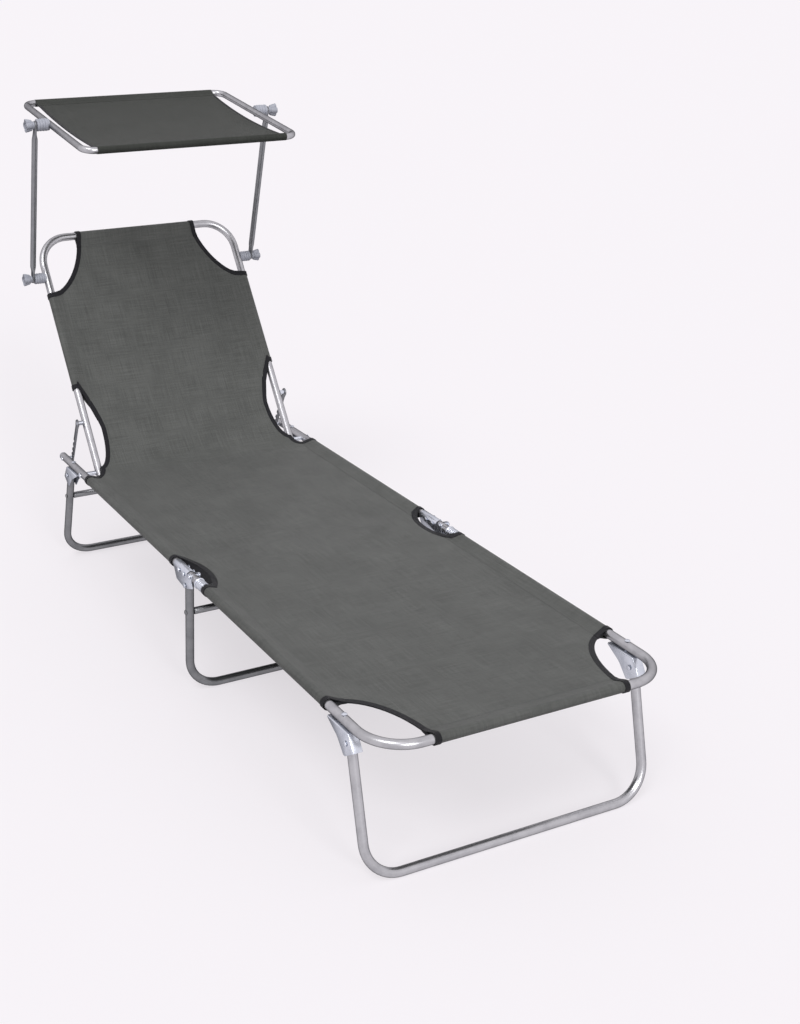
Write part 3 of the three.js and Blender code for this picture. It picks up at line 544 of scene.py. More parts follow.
tubes = {
    "legBend": 0.063, "footBend": 0.074, "backBend": 0.0665, "canopyBend": 0.026,
    "footEnd": 0.7035, "backEnd": -0.014, "railStart": 0.708, "railEnd": 1.434, "floorBar": 0.0085,
    # where a leg meets the floor and the rail's height, how high its pin is, and how far it runs past the pin
    "legs": {"front_leg": (0.023, 0.0973, 0.232, 0.008), "mid_leg": (0.7225, 0.712, 0.239, 0.009),
             "rear_leg": (1.458, 1.376, 0.232, 0.008)},
    "crossbars": {"mid_leg": 0.180, "rear_leg": 0.1736},
    "crossbarRadius": 0.007, "crossbarEnd": 0.0062, "crossbarChamfer": 0.001, "joined": 1e-5,
}


def legLean(name):
    footY, topY, _, _ = tubes["legs"][name]
    return math.atan2(topY - footY, railZ - tubes["floorBar"])


def legYAt(name, z):
    return tubes["legs"][name][0] + math.tan(legLean(name)) * (z - tubes["floorBar"])


# where a leg's pin sits, as y and z
def legPin(name):
    pinZ = tubes["legs"][name][2]
    return legYAt(name, pinZ), pinZ


# a U of tube open towards +y, its legs at half to each side and its bar at barY
def bentU(half, barY, endY, bend):
    return bentTube([(-half, endY), (-half, barY), (half, barY), (half, endY)], bend, tubeRadius)


# the front leg takes the frame's silver; the middle and rear legs take the leg finish, that silver with painted shade
for name, (footY, _, pinZ, pastPin) in tubes["legs"].items():
    top = (pinZ - tubes["floorBar"]) / math.cos(legLean(name)) + pastPin
    standing = inRow(0, footY, tubes["floorBar"]) @ Matrix.Rotation(math.pi / 2 - legLean(name), 4, 'X')
    finishPiece(bentU(railX, 0, top, tubes["legBend"]), f"{name}_tube", "frame" if name == "front_leg" else "leg", name,
                [name], standing)
finishPiece(bentU(railX, 0, tubes["footEnd"], tubes["footBend"]), "foot_frame_tube", "frame", "foot_section",
            ["foot_frame"], onSeat)
finishPiece(bentU(backHalf, backLength, tubes["backEnd"], tubes["backBend"]), "backrest_tube", "frame", "backrest",
            ["backrest_frame"], onBack)
canopyRing = [(0, canopyRear), (-canopyHalf, canopyRear), (-canopyHalf, canopyFront), (canopyHalf, canopyFront),
              (canopyHalf, canopyRear), (0, canopyRear)]
canopyTube = tidy(bentTube(canopyRing, tubes["canopyBend"], lounger["canopyRadius"], ends=False), tubes["joined"])
finishPiece(canopyTube, "canopy_tube", "frame", "canopy", ["canopy_frame"], onCanopy)
pairOf(lambda: bentTube([(railX, tubes["railStart"]), (railX, tubes["railEnd"])], 0, tubeRadius), "seat_rail_tube",
       "frame", "seat_frame", ["seat_rail"], onSeat)
print("tubes made")


fasteners = {"pin": 0.003, "shoulder": 0.005, "head": 0.005, "dome": 0.0021, "boltHead": 0.0062, "boltDome": 0.003,
             "saddleRivets": (0.741, 0.718), "bracketRivet": 0.0234,
             # a head's rim: its share of the height, its foot's share of the radius, and how far up it is widest
             "rim": (0.3, 0.94, 0.4)}
pinRadius, shoulder = fasteners["pin"], fasteners["shoulder"]


# stations of a domed head that stands on x; outward is +1 or -1
def domedHead(x, outward, radius=fasteners["head"], height=fasteners["dome"]):
    rimShare, footShare, widestAt = fasteners["rim"]
    rim = height * rimShare
    return [(x, radius * footShare), (x + outward * rim * widestAt, radius)] + [
        (x + outward * (rim + (height - rim) * sinOf(a)), radius * cosOf(a)) for a in (12, 30, 50, 70, 90)]


def pin(fromX, toX):
    return [*reversed(domedHead(fromX, -1)), (fromX, pinRadius), (toX, pinRadius), *domedHead(toX, 1)]


def turnedPair(name, body, place, stations):
    pairOf(lambda: turned(stations), f"{name}_turned", "zinc", body, [name], place)


pinFace = plateOuter + gap
pinPlaces = {
    "saddle_rivet_1": ("seat_frame", (fasteners["saddleRivets"][0], railZ)),
    "saddle_rivet_2": ("seat_frame", (fasteners["saddleRivets"][1], railZ)),
    "foot_fold_pin": ("seat_frame", lounger["footFold"]), "front_leg_pin": ("foot_section", legPin("front_leg")),
    "mid_leg_pin": ("seat_frame", legPin("mid_leg")), "rear_leg_pin": ("seat_frame", legPin("rear_leg")),
}
for name, (body, place) in pinPlaces.items():
    turnedPair(name, body, inRow(railX, *place), pin(-pinFace, pinFace))
for end, body, way in (("front", "foot_section", 1), ("rear", "seat_frame", -1)):
    upright = inRow(railX, legPin(f"{end}_leg")[0] + way * fasteners["bracketRivet"], railZ) @ quarterTurn(-1, 'Y')
    turnedPair(f"{end}_bracket_rivet", body, upright, pin(-pinFace, plateInner))
railInside, railOutside = railX - tubeRadius, railX + tubeRadius
backInside, backOutside = backHalf - tubeRadius, backHalf + tubeRadius
# the crossbars take the leg finish, the frame's silver with painted shade
for name, z in tubes["crossbars"].items():
    half = [(railInside - tubes["crossbarChamfer"], tubes["crossbarRadius"]), (railInside, tubes["crossbarEnd"]),
            (railInside, pinRadius), (railOutside, pinRadius), *domedHead(railOutside, 1)]
    bar = turned([*[(-x, radius) for x, radius in reversed(half)], *half])
    finishPiece(bar, f"{name}_crossbar_turned", "leg", name, [f"{name}_crossbar"], inRow(0, legYAt(name, z), z))
turnedPair("backrest_pivot", "seat_frame", inRow(0, backFoldY, railZ), [
    *reversed(domedHead(backInside, -1)), (backInside, pinRadius), (backOutside, pinRadius), (backOutside, shoulder),
    (railInside, shoulder), (railInside, pinRadius), (railOutside, pinRadius),
    *domedHead(railOutside, 1, fasteners["boltHead"], fasteners["boltDome"])])

stay = {"along": 0.120, "x": 0.2605, "thickness": 0.003, "length": 0.132, "front": 0.0065, "rear": 0.006, "eye": 0.009,
        "neck": 0.012, "catch": 0.0035, "catchClearance": 0.0006, "softened": 0.0005, "pivotSunk": 0.001,
        "pivotHead": (0.0045, 0.0004), "notch": 0.004, "notchInset": 0.001, "stops": (29, 37, 45, 52.8)}
stayOuter, pivotFrom, pivotTo = stay["x"] + stay["thickness"], backOutside - stay["pivotSunk"], stay["x"] - gap
catchTip = stayOuter + stay["catchClearance"]
turnedPair("stay_catch", "seat_frame", inRow(0, backFoldY + stay["along"], railZ), [
    (catchTip, 0), (catchTip, pinRadius), (catchTip + stay["softened"], stay["catch"]), (railInside, stay["catch"]),
    (railInside, pinRadius), (railOutside, pinRadius), *domedHead(railOutside, 1)])
turnedPair("stay_pivot", "backrest", onBack @ moved(0, stay["along"], 0), [
    (pivotFrom, 0), (pivotFrom, shoulder), (pivotTo, shoulder), (pivotTo, pinRadius),
    *domedHead(stayOuter, 1, *stay["pivotHead"])])


# flat bar with an eye at the top and open notches down its rear edge
def notchedStay():
    front, rear, length, notch = stay["front"], stay["rear"], stay["length"], stay["notch"]
    outline = [*arc(0, 0, stay["eye"], 0, 180, 14), (-front, -stay["neck"]), (-front, -length + front),
               (-front / 2, -length), (rear, -length)]
    for angle in reversed(stay["stops"]):
        down = -2 * stay["along"] * math.sin(math.radians(angle) / 2)
        cut = arc(rear - stay["notchInset"], down, notch, 270, 90, 8)
        outline += [(rear, down - notch), *cut, (rear, down + notch)]
    return plate(outline + [(rear, -stay["neck"])], stay["x"], stayOuter, stay["softened"])


hangsFrom = onBack @ moved(0, stay["along"], 0) @ Matrix.Rotation(-backAngle / 2, 4, 'X')
pairOf(notchedStay, "notched_stay", "arm", "stay_{side}", ["ratchet_stay"], hangsFrom)
print("pins and stays made")


bracket = {
    "softened": 0.0004, "saddle": (0.706, 0.768), "ear": 0.0058, "corner": 0.0035,
    # the saddle's crown, then its skirt from the ear to the rear end, by y and height from the rail
    "crown": (0.705, 0.005),
    "skirt": ((0.6822, -0.0075), (0.676, -0.015), (0.700, -0.0245), (0.720, -0.0285), (0.754, -0.0245),
              (0.7655, -0.004)),
    # the channel round a leg: ends of its top, depth of its rim, and its foot as measured from the leg's pin
    "top": (0.0614, -0.0046), "rim": 0.0032, "foot": ((-0.0226, -0.0075), (0.0046, -0.0264), (0.0280, -0.0016)),
    "fold": 0.0022, "channelCorner": 0.005,
}


# presses a shell of faces into sheet metal
def pressed(bm):
    tidy(bm)
    bmesh.ops.solidify(bm, geom=bm.faces, thickness=lounger["plate"])
    tidy(bm)
    softEdges(bm, bracket["softened"])
    return bm


# the two walls of a bracket from their (y, z) outline, with the corners in the slice rounded
def bracketWalls(outline, corners, width):
    bm = bmesh.new()
    for side in (-1, 1):
        verts = [bm.verts.new((side * plateMiddle, y, z)) for y, z in outline]
        bm.faces.new(verts)
        bevel(bm, verts[corners], width, 'VERTICES', 5)
    return bm


# saddle over the front end of the rail, its two walls running forward as ears for the fold pin
def saddleBracket():
    start, end = bracket["saddle"]
    skirt = [(y, railZ + z) for y, z in (bracket["crown"], *bracket["skirt"])]
    ear = arc(*lounger["footFold"], bracket["ear"], 60, 180, 9)
    outline = [(start, railZ), skirt[0], *ear, *skirt[1:], (end, railZ)]
    bm = bracketWalls(outline, slice(-len(skirt), -1), bracket["corner"])
    verts, edges = newRow(bm, [(plateMiddle, y, railZ) for y in bracket["saddle"]])
    bmesh.ops.spin(bm, geom=verts + edges, cent=(0, 0, railZ), axis=(0, 1, 0), angle=-math.pi, steps=14)
    return pressed(bm)


# channel under the rail round the top of a leg; towards is +1 where it opens to the head
def legChannel(name, towards):
    y, pinZ = legPin(name)
    (back, front), top = bracket["top"], railZ - plateMiddle
    foot = [(along, pinZ + down) for along, down in bracket["foot"]]
    shape = [(back, top), (front, top), *foot, (back, top - bracket["rim"])]
    outline = [(y + towards * along, z) for along, z in shape]
    bm = bracketWalls(outline, slice(3, 5), bracket["channelCorner"])
    verts, edges = newRow(bm, [(-plateMiddle, *point) for point in outline[:3]])
    verts, _ = extrudeRow(bm, verts, edges)
    bmesh.ops.translate(bm, vec=(plateMiddle * 2, 0, 0), verts=verts)
    tidy(bm)
    softEdges(bm, bracket["fold"], 3)
    return pressed(bm)


collar = {"from": 0.640, "ribs": 4, "pitch": 0.0056, "mouth": 0.0006,
          # a rib's points, by distance, pitches and depth; then where the rolled ring sits, how deep, and its radius
          "rib": ((0.0008, 0, 0), (-0.0012, 1, 0), (-0.0002, 1, 0.0007)), "ring": (0.0028, 0.0014, 0.0026)}


# ribbed collar that ends in a thicker rolled ring
def footCollar():
    pitch, (ringAt, ringDepth, ringRadius) = collar["pitch"], collar["ring"]
    stations = [(0, tubeRadius), (0, plateOuter - collar["mouth"])]
    for i in range(collar["ribs"]):
        stations += [(pitch * (i + pitches) + x, plateOuter - depth) for x, pitches, depth in collar["rib"]]
    rolled = pitch * collar["ribs"] + ringAt
    stations += arc(rolled, plateOuter - ringDepth, ringRadius, 170, 0, 10)
    return turned([*stations, (rolled + ringRadius, tubeRadius)], closed=True)


cap = {"plugLength": 0.008, "plugRadius": 0.005, "edge": 0.0004, "face": 0.0015, "dome": 0.0058, "fullness": 0.75}


def railCap():
    dome = [(cap["face"] + cap["dome"] * sinOf(a), tubeRadius * cosOf(a) ** cap["fullness"]) for a in range(15, 91, 15)]
    return turned([(-cap["plugLength"], 0), (-cap["plugLength"], cap["plugRadius"]), (0, cap["plugRadius"]),
                   (0, tubeRadius - cap["edge"]), (cap["edge"], tubeRadius), (cap["face"], tubeRadius), *dome])


atRail = inRow(railX, 0, 0)
pairOf(saddleBracket, "mid_hinge_saddle", "zinc", "seat_frame", ["mid_hinge_bracket"], atRail)
pairOf(lambda: legChannel("front_leg", 1), "front_leg_channel", "zinc", "foot_section", ["front_leg_bracket"], atRail)
pairOf(lambda: legChannel("rear_leg", -1), "rear_leg_channel", "zinc", "seat_frame", ["rear_leg_bracket"], atRail)
pairOf(footCollar, "foot_collar_ring", "zinc", "foot_section", ["foot_collar"],
       atRail @ moved(0, collar["from"], railZ) @ quarterTurn(1))
pairOf(railCap, "rail_cap", "plastic", "seat_frame", ["rail_end_cap"],
       atRail @ moved(0, tubes["railEnd"], railZ) @ quarterTurn(1))
print("brackets made")


arm = {"flatWidth": 0.009, "flatThickness": 0.0025, "flatLength": 0.015, "round": 0.0065, "roundFrom": 0.033,
       "tipSteps": 6, "easeSteps": 6, "squared": 0.5}


# round tube with both ends pressed flat
def pressedArm(sides=24):
    wide, thin, rounded = arm["flatWidth"], arm["flatThickness"], arm["round"]
    stations = [(-wide * cosOf(a), wide * sinOf(a), thin) for a in between(0, 90, arm["tipSteps"])]
    for share in (0, *between(0, 1, arm["easeSteps"])):
        ease = share * share * (3 - 2 * share)
        stations.append((arm["flatLength"] + (arm["roundFrom"] - arm["flatLength"]) * share,
                         wide + (rounded - wide) * ease, thin + (rounded - thin) * ease))
    stations += [(lounger["armLength"] - up, width, thickness) for up, width, thickness in reversed(stations)]
    bm, ring, edges = newRing(sides)
    unit = [v.co.copy() for v in ring]
    for (up, width, thickness), ring in rowsAlong(bm, ring, edges, stations):
        flatness = (rounded - thickness) / (rounded - thin)
        for v, at in zip(ring, unit):
            v.co = (math.copysign(abs(at.x) ** (1 - arm["squared"] * flatness), at.x) * thickness, at.y * width, up)
    fillEnds(bm)
    return tidy(bm)


standing = inRow(lounger["armX"], armPin.y, armPin.z) @ Matrix.Rotation(armLean, 4, 'X')
pairOf(pressedArm, "canopy_arm_tube", "arm", "canopy_arms", ["canopy_arm"], standing, smoothTo=60)

clamp = {"ribs": 4, "ribDepth": 0.0016, "fullness": 0.7, "overlap": 0.004, "chamfer": 0.002, "lead": 0.001,
         "leadDepth": 0.0006, "lower": 0.012, "upper": 0.013}
armFace = lounger["armThickness"] / 2 + gap


# ribbed barrel between a frame tube and an arm
def barrel(radius, tubeX, tubeR):
    start, end = tubeX + tubeR, lounger["armX"] - armFace
    pitch, inside = (end - start) / clamp["ribs"], start - clamp["overlap"]
    stations = [(inside, 0), (inside, radius - clamp["chamfer"]), (inside + clamp["lead"], radius - clamp["leadDepth"])]
    for rib in range(clamp["ribs"]):
        for a in (8, 35, 65, 90, 115, 145, 172):
            depth = clamp["ribDepth"] * (1 - sinOf(a) ** clamp["fullness"])
            stations.append((start + pitch * (rib + 0.5 - 0.5 * cosOf(a)), radius - depth))
    return turned([*stations, (end, radius - clamp["chamfer"]), (end, 0)], 36)


pairOf(lambda: barrel(clamp["lower"], backHalf, tubeRadius), "lower_clamp_barrel", "plastic", "backrest",
       ["lower_clamp"], onBack @ moved(0, lounger["armPinAlong"], 0))
pairOf(lambda: barrel(clamp["upper"], canopyHalf, lounger["canopyRadius"]), "upper_clamp_barrel", "plastic", "canopy",
       ["upper_clamp"], onCanopy)

knob = {
    "radius": 0.014, "root": 0.0095, "neckLength": 0.004, "length": 0.015, "lobes": 4, "fullness": 0.8, "sides": 64,
    # share of the length, share of the lobed outline's size, and how lobed the ring is from 0 to 1
    "rings": ((-0.27, 0.57, 0.0), (0.0, 0.57, 0.0), (0.02, 0.70, 0.6), (0.10, 0.80, 1.0), (0.45, 0.90, 1.0),
              (0.80, 0.97, 1.0), (0.93, 1.0, 1.0), (0.99, 0.97, 1.0), (1.0, 0.90, 1.0), (0.98, 0.80, 1.0),
              (0.80, 0.72, 1.0), (0.78, 0.35, 0.5), (0.86, 0.28, 0.0), (0.90, 0.18, 0.0)),
}


# lobed hand knob, flaring outwards, its face hollowed between the lobes
def lobedKnob():
    bm, ring, edges = newRing(knob["sides"])
    angles = [math.atan2(v.co.y, v.co.x) for v in ring]
    for (along, size, lobed), ring in rowsAlong(bm, ring, edges, knob["rings"]):
        for v, angle in zip(ring, angles):
            swell = abs(math.cos(angle * knob["lobes"] / 2)) ** knob["fullness"]
            lobe = knob["root"] + (knob["radius"] - knob["root"]) * swell
            radius = size * (lobe * lobed + knob["radius"] * (1 - lobed))
            v.co = (along * knob["length"], radius * math.cos(angle), radius * math.sin(angle))
    fillEnds(bm)
    return tidy(bm)


for level, at in (("lower", armPin), ("upper", canopyPin)):
    pairOf(lobedKnob, f"{level}_knob_lobed", "plastic", level + "_knob_{side}", [f"{level}_knob"],
           inRow(lounger["armX"] + armFace + knob["neckLength"], at.y, at.z), smoothTo=50)
print("arms, clamps and knobs made")


sling = {
    "thickness": 0.0012, "columns": 26, "meet": 1.0, "sagFoot": 0.003, "sagSeat": 0.005, "sagBack": 0.004, "ramp": 0.12,
    # the taut curve over the fold at the backrest, and how far from each fold the cloth bends with its two bodies
    "creaseStart": 0.040, "creaseEnd": 0.150, "backBends": (-0.034, 0.066), "footBends": 0.012,
    "seam": 0.028, "seamHalf": 0.0007, "sleeve": 0.0095, "neck": (0.72, 0.0020),
    "tape": 0.0095, "tapeThickness": 0.0011, "tapeProud": 0.0008, "steepest": 2.8,
    "liningTo": 0.2645, "liningLeast": 0.001, "liningDrop": 0.015,
    # centre and half sizes of the ellipse that each cut-out follows, and 1 for a full one or more for a leaner one
    "frontCut": (0.279, 0.0, 0.093, 0.163, 1.0), "midCut": (0.279, 0.706, 0.032, 0.072, 1.0),
    "lumbarSeatCut": (0.279, 1.299, 0.039, 0.036, 1.0), "lumbarBackCut": (0.242, 0.0997, 0.0325, 0.0999, 1.0),
    "lumbarUpperCut": (0.242, 0.0997, 0.0325, 0.0999, 1.6), "topCut": (0.242, 0.569, 0.094, 0.137, 1.2),
}


def onEllipse(cutName, degrees):
    x, y, halfX, halfY, lean = sling[cutName]
    right, up = cosOf(degrees), sinOf(degrees)
    return x + halfX * math.copysign(abs(right) ** lean, right), y + halfY * math.copysign(abs(up) ** lean, up)


# where a cut-out starts on the tube, or ends with sign +1
def cutEnd(cutName, sign=-1):
    return sling[cutName][1] + sign * sling[cutName][3]


# where a cut-out's edge crosses the line at x; sign is -1 for the edge before its centre and +1 for the one after
def edgeAt(cutName, sign):
    centreX, centreY, halfX, halfY, lean = sling[cutName]

    def edge(x):
        share = min(1.0, max(0.0, (centreX - x) / halfX))
        return centreY + sign * halfY * max(0.0, 1 - share ** (2 / lean)) ** (lean / 2)

    return edge


# inner edge of the tape along a cut-out's edge on a sleeve, further along the rail where the edge is steeper
def innerEdge(at, way, step=0.0005):
    def edge(x):
        slope = (at(x + step) - at(x - step)) / (2 * step)
        return at(x) + way * sling["tape"] * min(sling["steepest"], math.hypot(1, slope))

    return edge


# half width that a hem has left at a distance inside its tube, where the cut-out runs into it
def hemHalfAt(cutName):
    centreX, _, halfX, halfY, lean = sling[cutName]
    return lambda inside: centreX - halfX * (1 - (max(0.0, inside) / halfY) ** (2 / lean)) ** (lean / 2)


# half width of the cloth at each station; a station on the backrest is the fold's y plus its distance up the backrest
def slingRows():
    foot = [onEllipse("frontCut", a) for a in (180, *between(180, 90, 16))]
    foot += [(railX, y) for y in between(cutEnd("frontCut", 1), cutEnd("midCut"), 12)]
    foot += [onEllipse("midCut", a) for a in between(270, 90, 26)]
    foot += [(railX, y) for y in between(cutEnd("midCut", 1), sling["meet"], 5)]
    seat = [(railX, y) for y in (sling["meet"], *between(sling["meet"], cutEnd("lumbarSeatCut"), 6))]
    seat += [onEllipse("lumbarSeatCut", a) for a in between(270, 180, 14)]
    low = math.degrees(math.asin(sling["lumbarBackCut"][1] / sling["lumbarBackCut"][3]))
    back = [onEllipse("lumbarBackCut", a) for a in between(180 + low, 180, 9)]
    back += [onEllipse("lumbarUpperCut", a) for a in between(180, 90, 12)]
    back += [(backHalf, s) for s in between(cutEnd("lumbarUpperCut", 1), cutEnd("topCut"), 7)]
    back += [onEllipse("topCut", a) for a in between(270, 180, 16)]
    return foot, seat + [(x, backFoldY + s) for x, s in back]


footRows, backRows = slingRows()
footFoldY = lounger["footFold"][0]


# 0 at both ends of a stretch of cloth and 1 in its middle
def awayFromEnds(along, low, high):
    return max(0.0, min(1.0, (along - low) / sling["ramp"])) * max(0.0, min(1.0, (high - along) / sling["ramp"]))


# a point of the cloth from its place across and along; it takes the fold at the backrest in a taut curve
def clothPoint(across, along, halfWidth, lift=0.0):
    start, end, seam = sling["creaseStart"], sling["creaseEnd"], sling["seam"]
    sag = (sling["sagFoot"] * awayFromEnds(along, seam, footFoldY)
           + sling["sagSeat"] * awayFromEnds(along, footFoldY, backFoldY)
           + sling["sagBack"] * awayFromEnds(along, backFoldY, backFoldY + backLength - seam))
    up = lift - sag * (1 - min(1.0, abs(across) / (halfWidth - seam)) ** 2)
    past = along - backFoldY + start
    if past <= 0:
        return Vector((across, along, railZ + up))
    share = min(1.0, (math.sqrt(start ** 2 + (end - start) * past) - start) / (end - start))
    forward, rise = end * math.cos(backAngle) * share, end * math.sin(backAngle) * share
    turn, rest = math.atan2(rise, start * (1 - share) + forward), max(0.0, past - start - end)
    y = backFoldY - start * (1 - share) ** 2 + forward * share + rest * math.cos(turn) - up * math.sin(turn)
    return Vector((across, y, railZ + rise * share + rest * math.sin(turn) + up * math.cos(turn)))


def setUv(bm, flat):
    uv = bm.loops.layers.uv.new("cloth")
    for face in bm.faces:
        for loop in face.loops:
            loop[uv].uv = flat[loop.vert]


def thicken(piece, thickness):
    wall = piece.modifiers.new("wall", 'SOLIDIFY')
    wall.thickness, wall.offset = thickness, 0
    return piece


# cloth laid over a grid, from the half width and station of each row
def webOf(rows, pointAt, name, finish, body, replaced, place):
    bm = bmesh.new()
    flat, steps = {}, len(rows) - 1
    for v in bmesh.ops.create_grid(bm, x_segments=sling["columns"], y_segments=steps, size=1)['verts']:
        halfWidth, along = rows[round((v.co.y + 1) / 2 * steps)]
        flat[v] = (v.co.x * halfWidth, along)
        v.co = pointAt(*flat[v], halfWidth)
    setUv(bm, flat)
    return thicken(finishPiece(bm, name, finish, body, replaced, place, smoothTo=60), sling["thickness"])


footFoldRow, footBends = toRow @ Vector((0, footFoldY, railZ)), Vector((0, sling["footBends"], 0))
creaseRow = [toRow @ clothPoint(0, backFoldY + past, 1) for past in sling["backBends"]]


def bendAtFoot(piece):
    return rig.blend(piece, "foot_section", "seat_frame", start=footFoldRow - footBends, end=footFoldRow + footBends)


def bendAtBack(piece):
    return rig.blend(piece, "seat_frame", "backrest", start=creaseRow[0], end=creaseRow[1])


footWeb = bendAtFoot(webOf(footRows, clothPoint, "foot_and_seat_cloth", "sling", None, ["foot_sling"], toRow))
backWeb = bendAtBack(webOf(backRows, clothPoint, "seat_and_back_cloth", "sling", None, ["seat_sling", "back_sling"],
                           toRow))


# section of a sleeve that wraps a tube and narrows to its seam, as (outwards, upwards, distance round)
def sleeveSection(radius, seam, grown=0.0, steps=18):
    reach, (neckShare, neckHalf) = math.acos(radius / seam), sling["neck"]
    loop = [(-seam - grown, sling["seamHalf"] + grown), (-seam * neckShare, neckHalf + grown)]
    loop += [((radius + grown) * math.cos(a), (radius + grown) * math.sin(a))
             for a in (math.pi - reach - (2 * math.pi - 2 * reach) * i / steps for i in range(steps + 1))]
    loop += [(x, -y) for x, y in reversed(loop[:2])]
    section, around = [], 0.0
    for i, point in enumerate(loop):
        around += math.dist(point, loop[i - 1]) if i else 0.0
        section.append((*point, around))
    return section


# a sleeve along y on the tube at (tubeX, 0), from startAt(x) to endAt(x)
def sleeveOn(tubeX, section, startAt, endAt, steps=10):
    bm = bmesh.new()
    start, flat = newRow(bm, [(tubeX + out, 0, up) for out, up, _ in section], closed=True), {}
    for i, row in rowsAlong(bm, *start, range(steps + 1)):
        for v, (_, _, around) in zip(row, section):
            v.co.y = startAt(v.co.x) + (endAt(v.co.x) - startAt(v.co.x)) * i / steps
            flat[v] = (around, v.co.y)
    setUv(bm, flat)
    return facingOut(bm)


tapeProud, tapeThickness = sling["tapeProud"], sling["tapeThickness"]
railSection = sleeveSection(sling["sleeve"], sling["seam"])
tapeSection = sleeveSection(sling["sleeve"], sling["seam"], tapeProud)
railSleeves = {
    "foot_rail": ("foot_section", railX, edgeAt("frontCut", 1), edgeAt("midCut", -1), onSeat),
    "seat_rail": ("seat_frame", railX, edgeAt("midCut", 1), edgeAt("lumbarSeatCut", -1), onSeat),
    "back_rail": ("backrest", backHalf, edgeAt("lumbarUpperCut", 1), edgeAt("topCut", -1), onBack),
}
clothOn = {"foot_section": [], "seat_frame": [], "backrest": [], "canopy": []}
for name, (body, tubeX, startAt, endAt, place) in railSleeves.items():
    clothOn[body] += pairOf(lambda: sleeveOn(tubeX, railSection, startAt, endAt), f"{name}_sleeve", "sling", body, (),
                            place, smoothTo=70)
    for end, at, way in (("front", startAt, 1), ("rear", endAt, -1)):
        bands = pairOf(lambda: sleeveOn(tubeX, tapeSection, lambda x: at(x) - way * tapeProud, innerEdge(at, way), 2),
                       f"{name}_{end}_tape", "tape", body, (), place, smoothTo=70)
        clothOn[body] += [thicken(band, tapeThickness) for band in bands]

canopy = {"sleeve": 0.0078, "seam": 0.022, "half": 0.216, "sag": 0.008, "sideCurve": 0.002, "tape": 0.005,
          "tapeHalf": 0.001, "rows": 28}
canopySection = sleeveSection(canopy["sleeve"], canopy["seam"])
# body, finish, section, half length at a distance inside the tube, and place of each hem
hems = {
    "foot_hem": ("foot_section", "sling", railSection, hemHalfAt("frontCut"), onSeat @ quarterTurn(-1)),
    "top_hem": ("backrest", "sling", railSection, hemHalfAt("topCut"),
                onBack @ moved(0, backLength, 0) @ quarterTurn(1)),
}
for end, y, way in (("front", canopyFront, -1), ("rear", canopyRear, 1)):
    hems[f"canopy_{end}_hem"] = ("canopy", "canopy", canopySection, lambda inside: canopy["half"],
                                 onCanopy @ moved(0, y, 0) @ quarterTurn(way))
for name, (body, finish, section, halfAt, place) in hems.items():
    hem = sleeveOn(0, section, lambda x: -halfAt(-x), lambda x: halfAt(-x), 14)
    clothOn[body].append(finishPiece(hem, f"{name}_sleeve", finish, body, (), place, smoothTo=70))
    if body == "canopy":  # its side tapes cover the ends of its hems
        continue
    for side, way in (("one", -1), ("other", 1)):
        band = sleeveOn(0, tapeSection, lambda x: way * (halfAt(-x) + tapeProud),
                        lambda x: way * (halfAt(-x) - sling["tape"]), 2)
        band = finishPiece(band, f"{name}_{side}_end_tape", "tape", body, (), place, smoothTo=70)
        clothOn[body].append(thicken(band, tapeThickness))


# share from 0 at both hems of the canopy to 1 in its middle
def canopyBow(along, inset=0.0):
    share = max(0.0, min(1.0, (along - canopyFront - inset) / (canopyRear - canopyFront - 2 * inset)))
    return 4 * share * (1 - share)


# a point of the canopy's cloth, asked for as clothPoint is; the half width doesn't matter here
def canopyPoint(across, along, halfWidth, lift=0.0):
    return Vector((across, along, lift - canopy["sag"] * canopyBow(along, canopy["seam"])))


canopyRows = [(canopy["half"] - canopy["sideCurve"] * canopyBow(y), y)
              for y in (canopyFront, *between(canopyFront, canopyRear, canopy["rows"]))]
canopyWeb = webOf(canopyRows, canopyPoint, "canopy_cloth", "canopy", "canopy", ["canopy_fabric"], onCanopy)


# how far the dark flap of tape under a middle cut-out reaches out and hangs down from the cut edge at x
def hangingFlapAt(x):
    share = (railX - x) / sling["midCut"][2]
    return max(sling["liningLeast"], sling["liningTo"] - x), sling["liningDrop"] * share


edging = {"half": 0.0012, "bulge": 1.1, "lap": 0.0004, "nose": 0.0008, "liningFrom": 0.0012, "liningLip": 0.001}


# tape folded over the free edge of the cloth along rows of (half width, station); the last argument, where given, tells
# how far a flap of the same tape goes on from the edge and hangs down
def edgeTape(rows, pointAt, width, half=edging["half"], hangingFlap=None):
    lap, lip, bulged = edging["lap"], edging["liningLip"], half * edging["bulge"]
    section = [(lap, half, 0), (-width / 2, bulged, 0), (-width, half, 0), (-width, -half, 0), (-width / 2, -bulged, 0)]
    section += [(-edging["liningFrom"], -half, 0), (0, -half, 0.5), (0, -half, 1), (lip, 0, 1),
                (lip, 0, 0.5)] if hangingFlap else [(lap, -half, 0)]
    section.append((edging["nose"], 0, 0))
    bm = bmesh.new()
    start = newRow(bm, [(out, hang, up) for out, up, hang in section], closed=True)
    flat, travelled = {}, 0.0
    for (i, (x, y)), row in rowsAlong(bm, *start, enumerate(rows)):
        (fromX, fromY), (toX, toY) = rows[max(0, i - 1)], rows[min(len(rows) - 1, i + 1)]
        length = math.hypot(toX - fromX, toY - fromY)
        outX, outY = (toY - fromY) / length, -(toX - fromX) / length
        travelled += math.hypot(x - fromX, y - fromY)
        reach, drop = hangingFlap(x) if hangingFlap else (0, 0)
        for v, (out, up, hang) in zip(row, section):
            v.co = pointAt(x + outX * out + reach * hang, y + outY * out, x, up - drop * hang)
            flat[v] = (out + reach * hang, travelled)
    setUv(bm, flat)
    fillEnds(bm)
    return facingOut(bm)


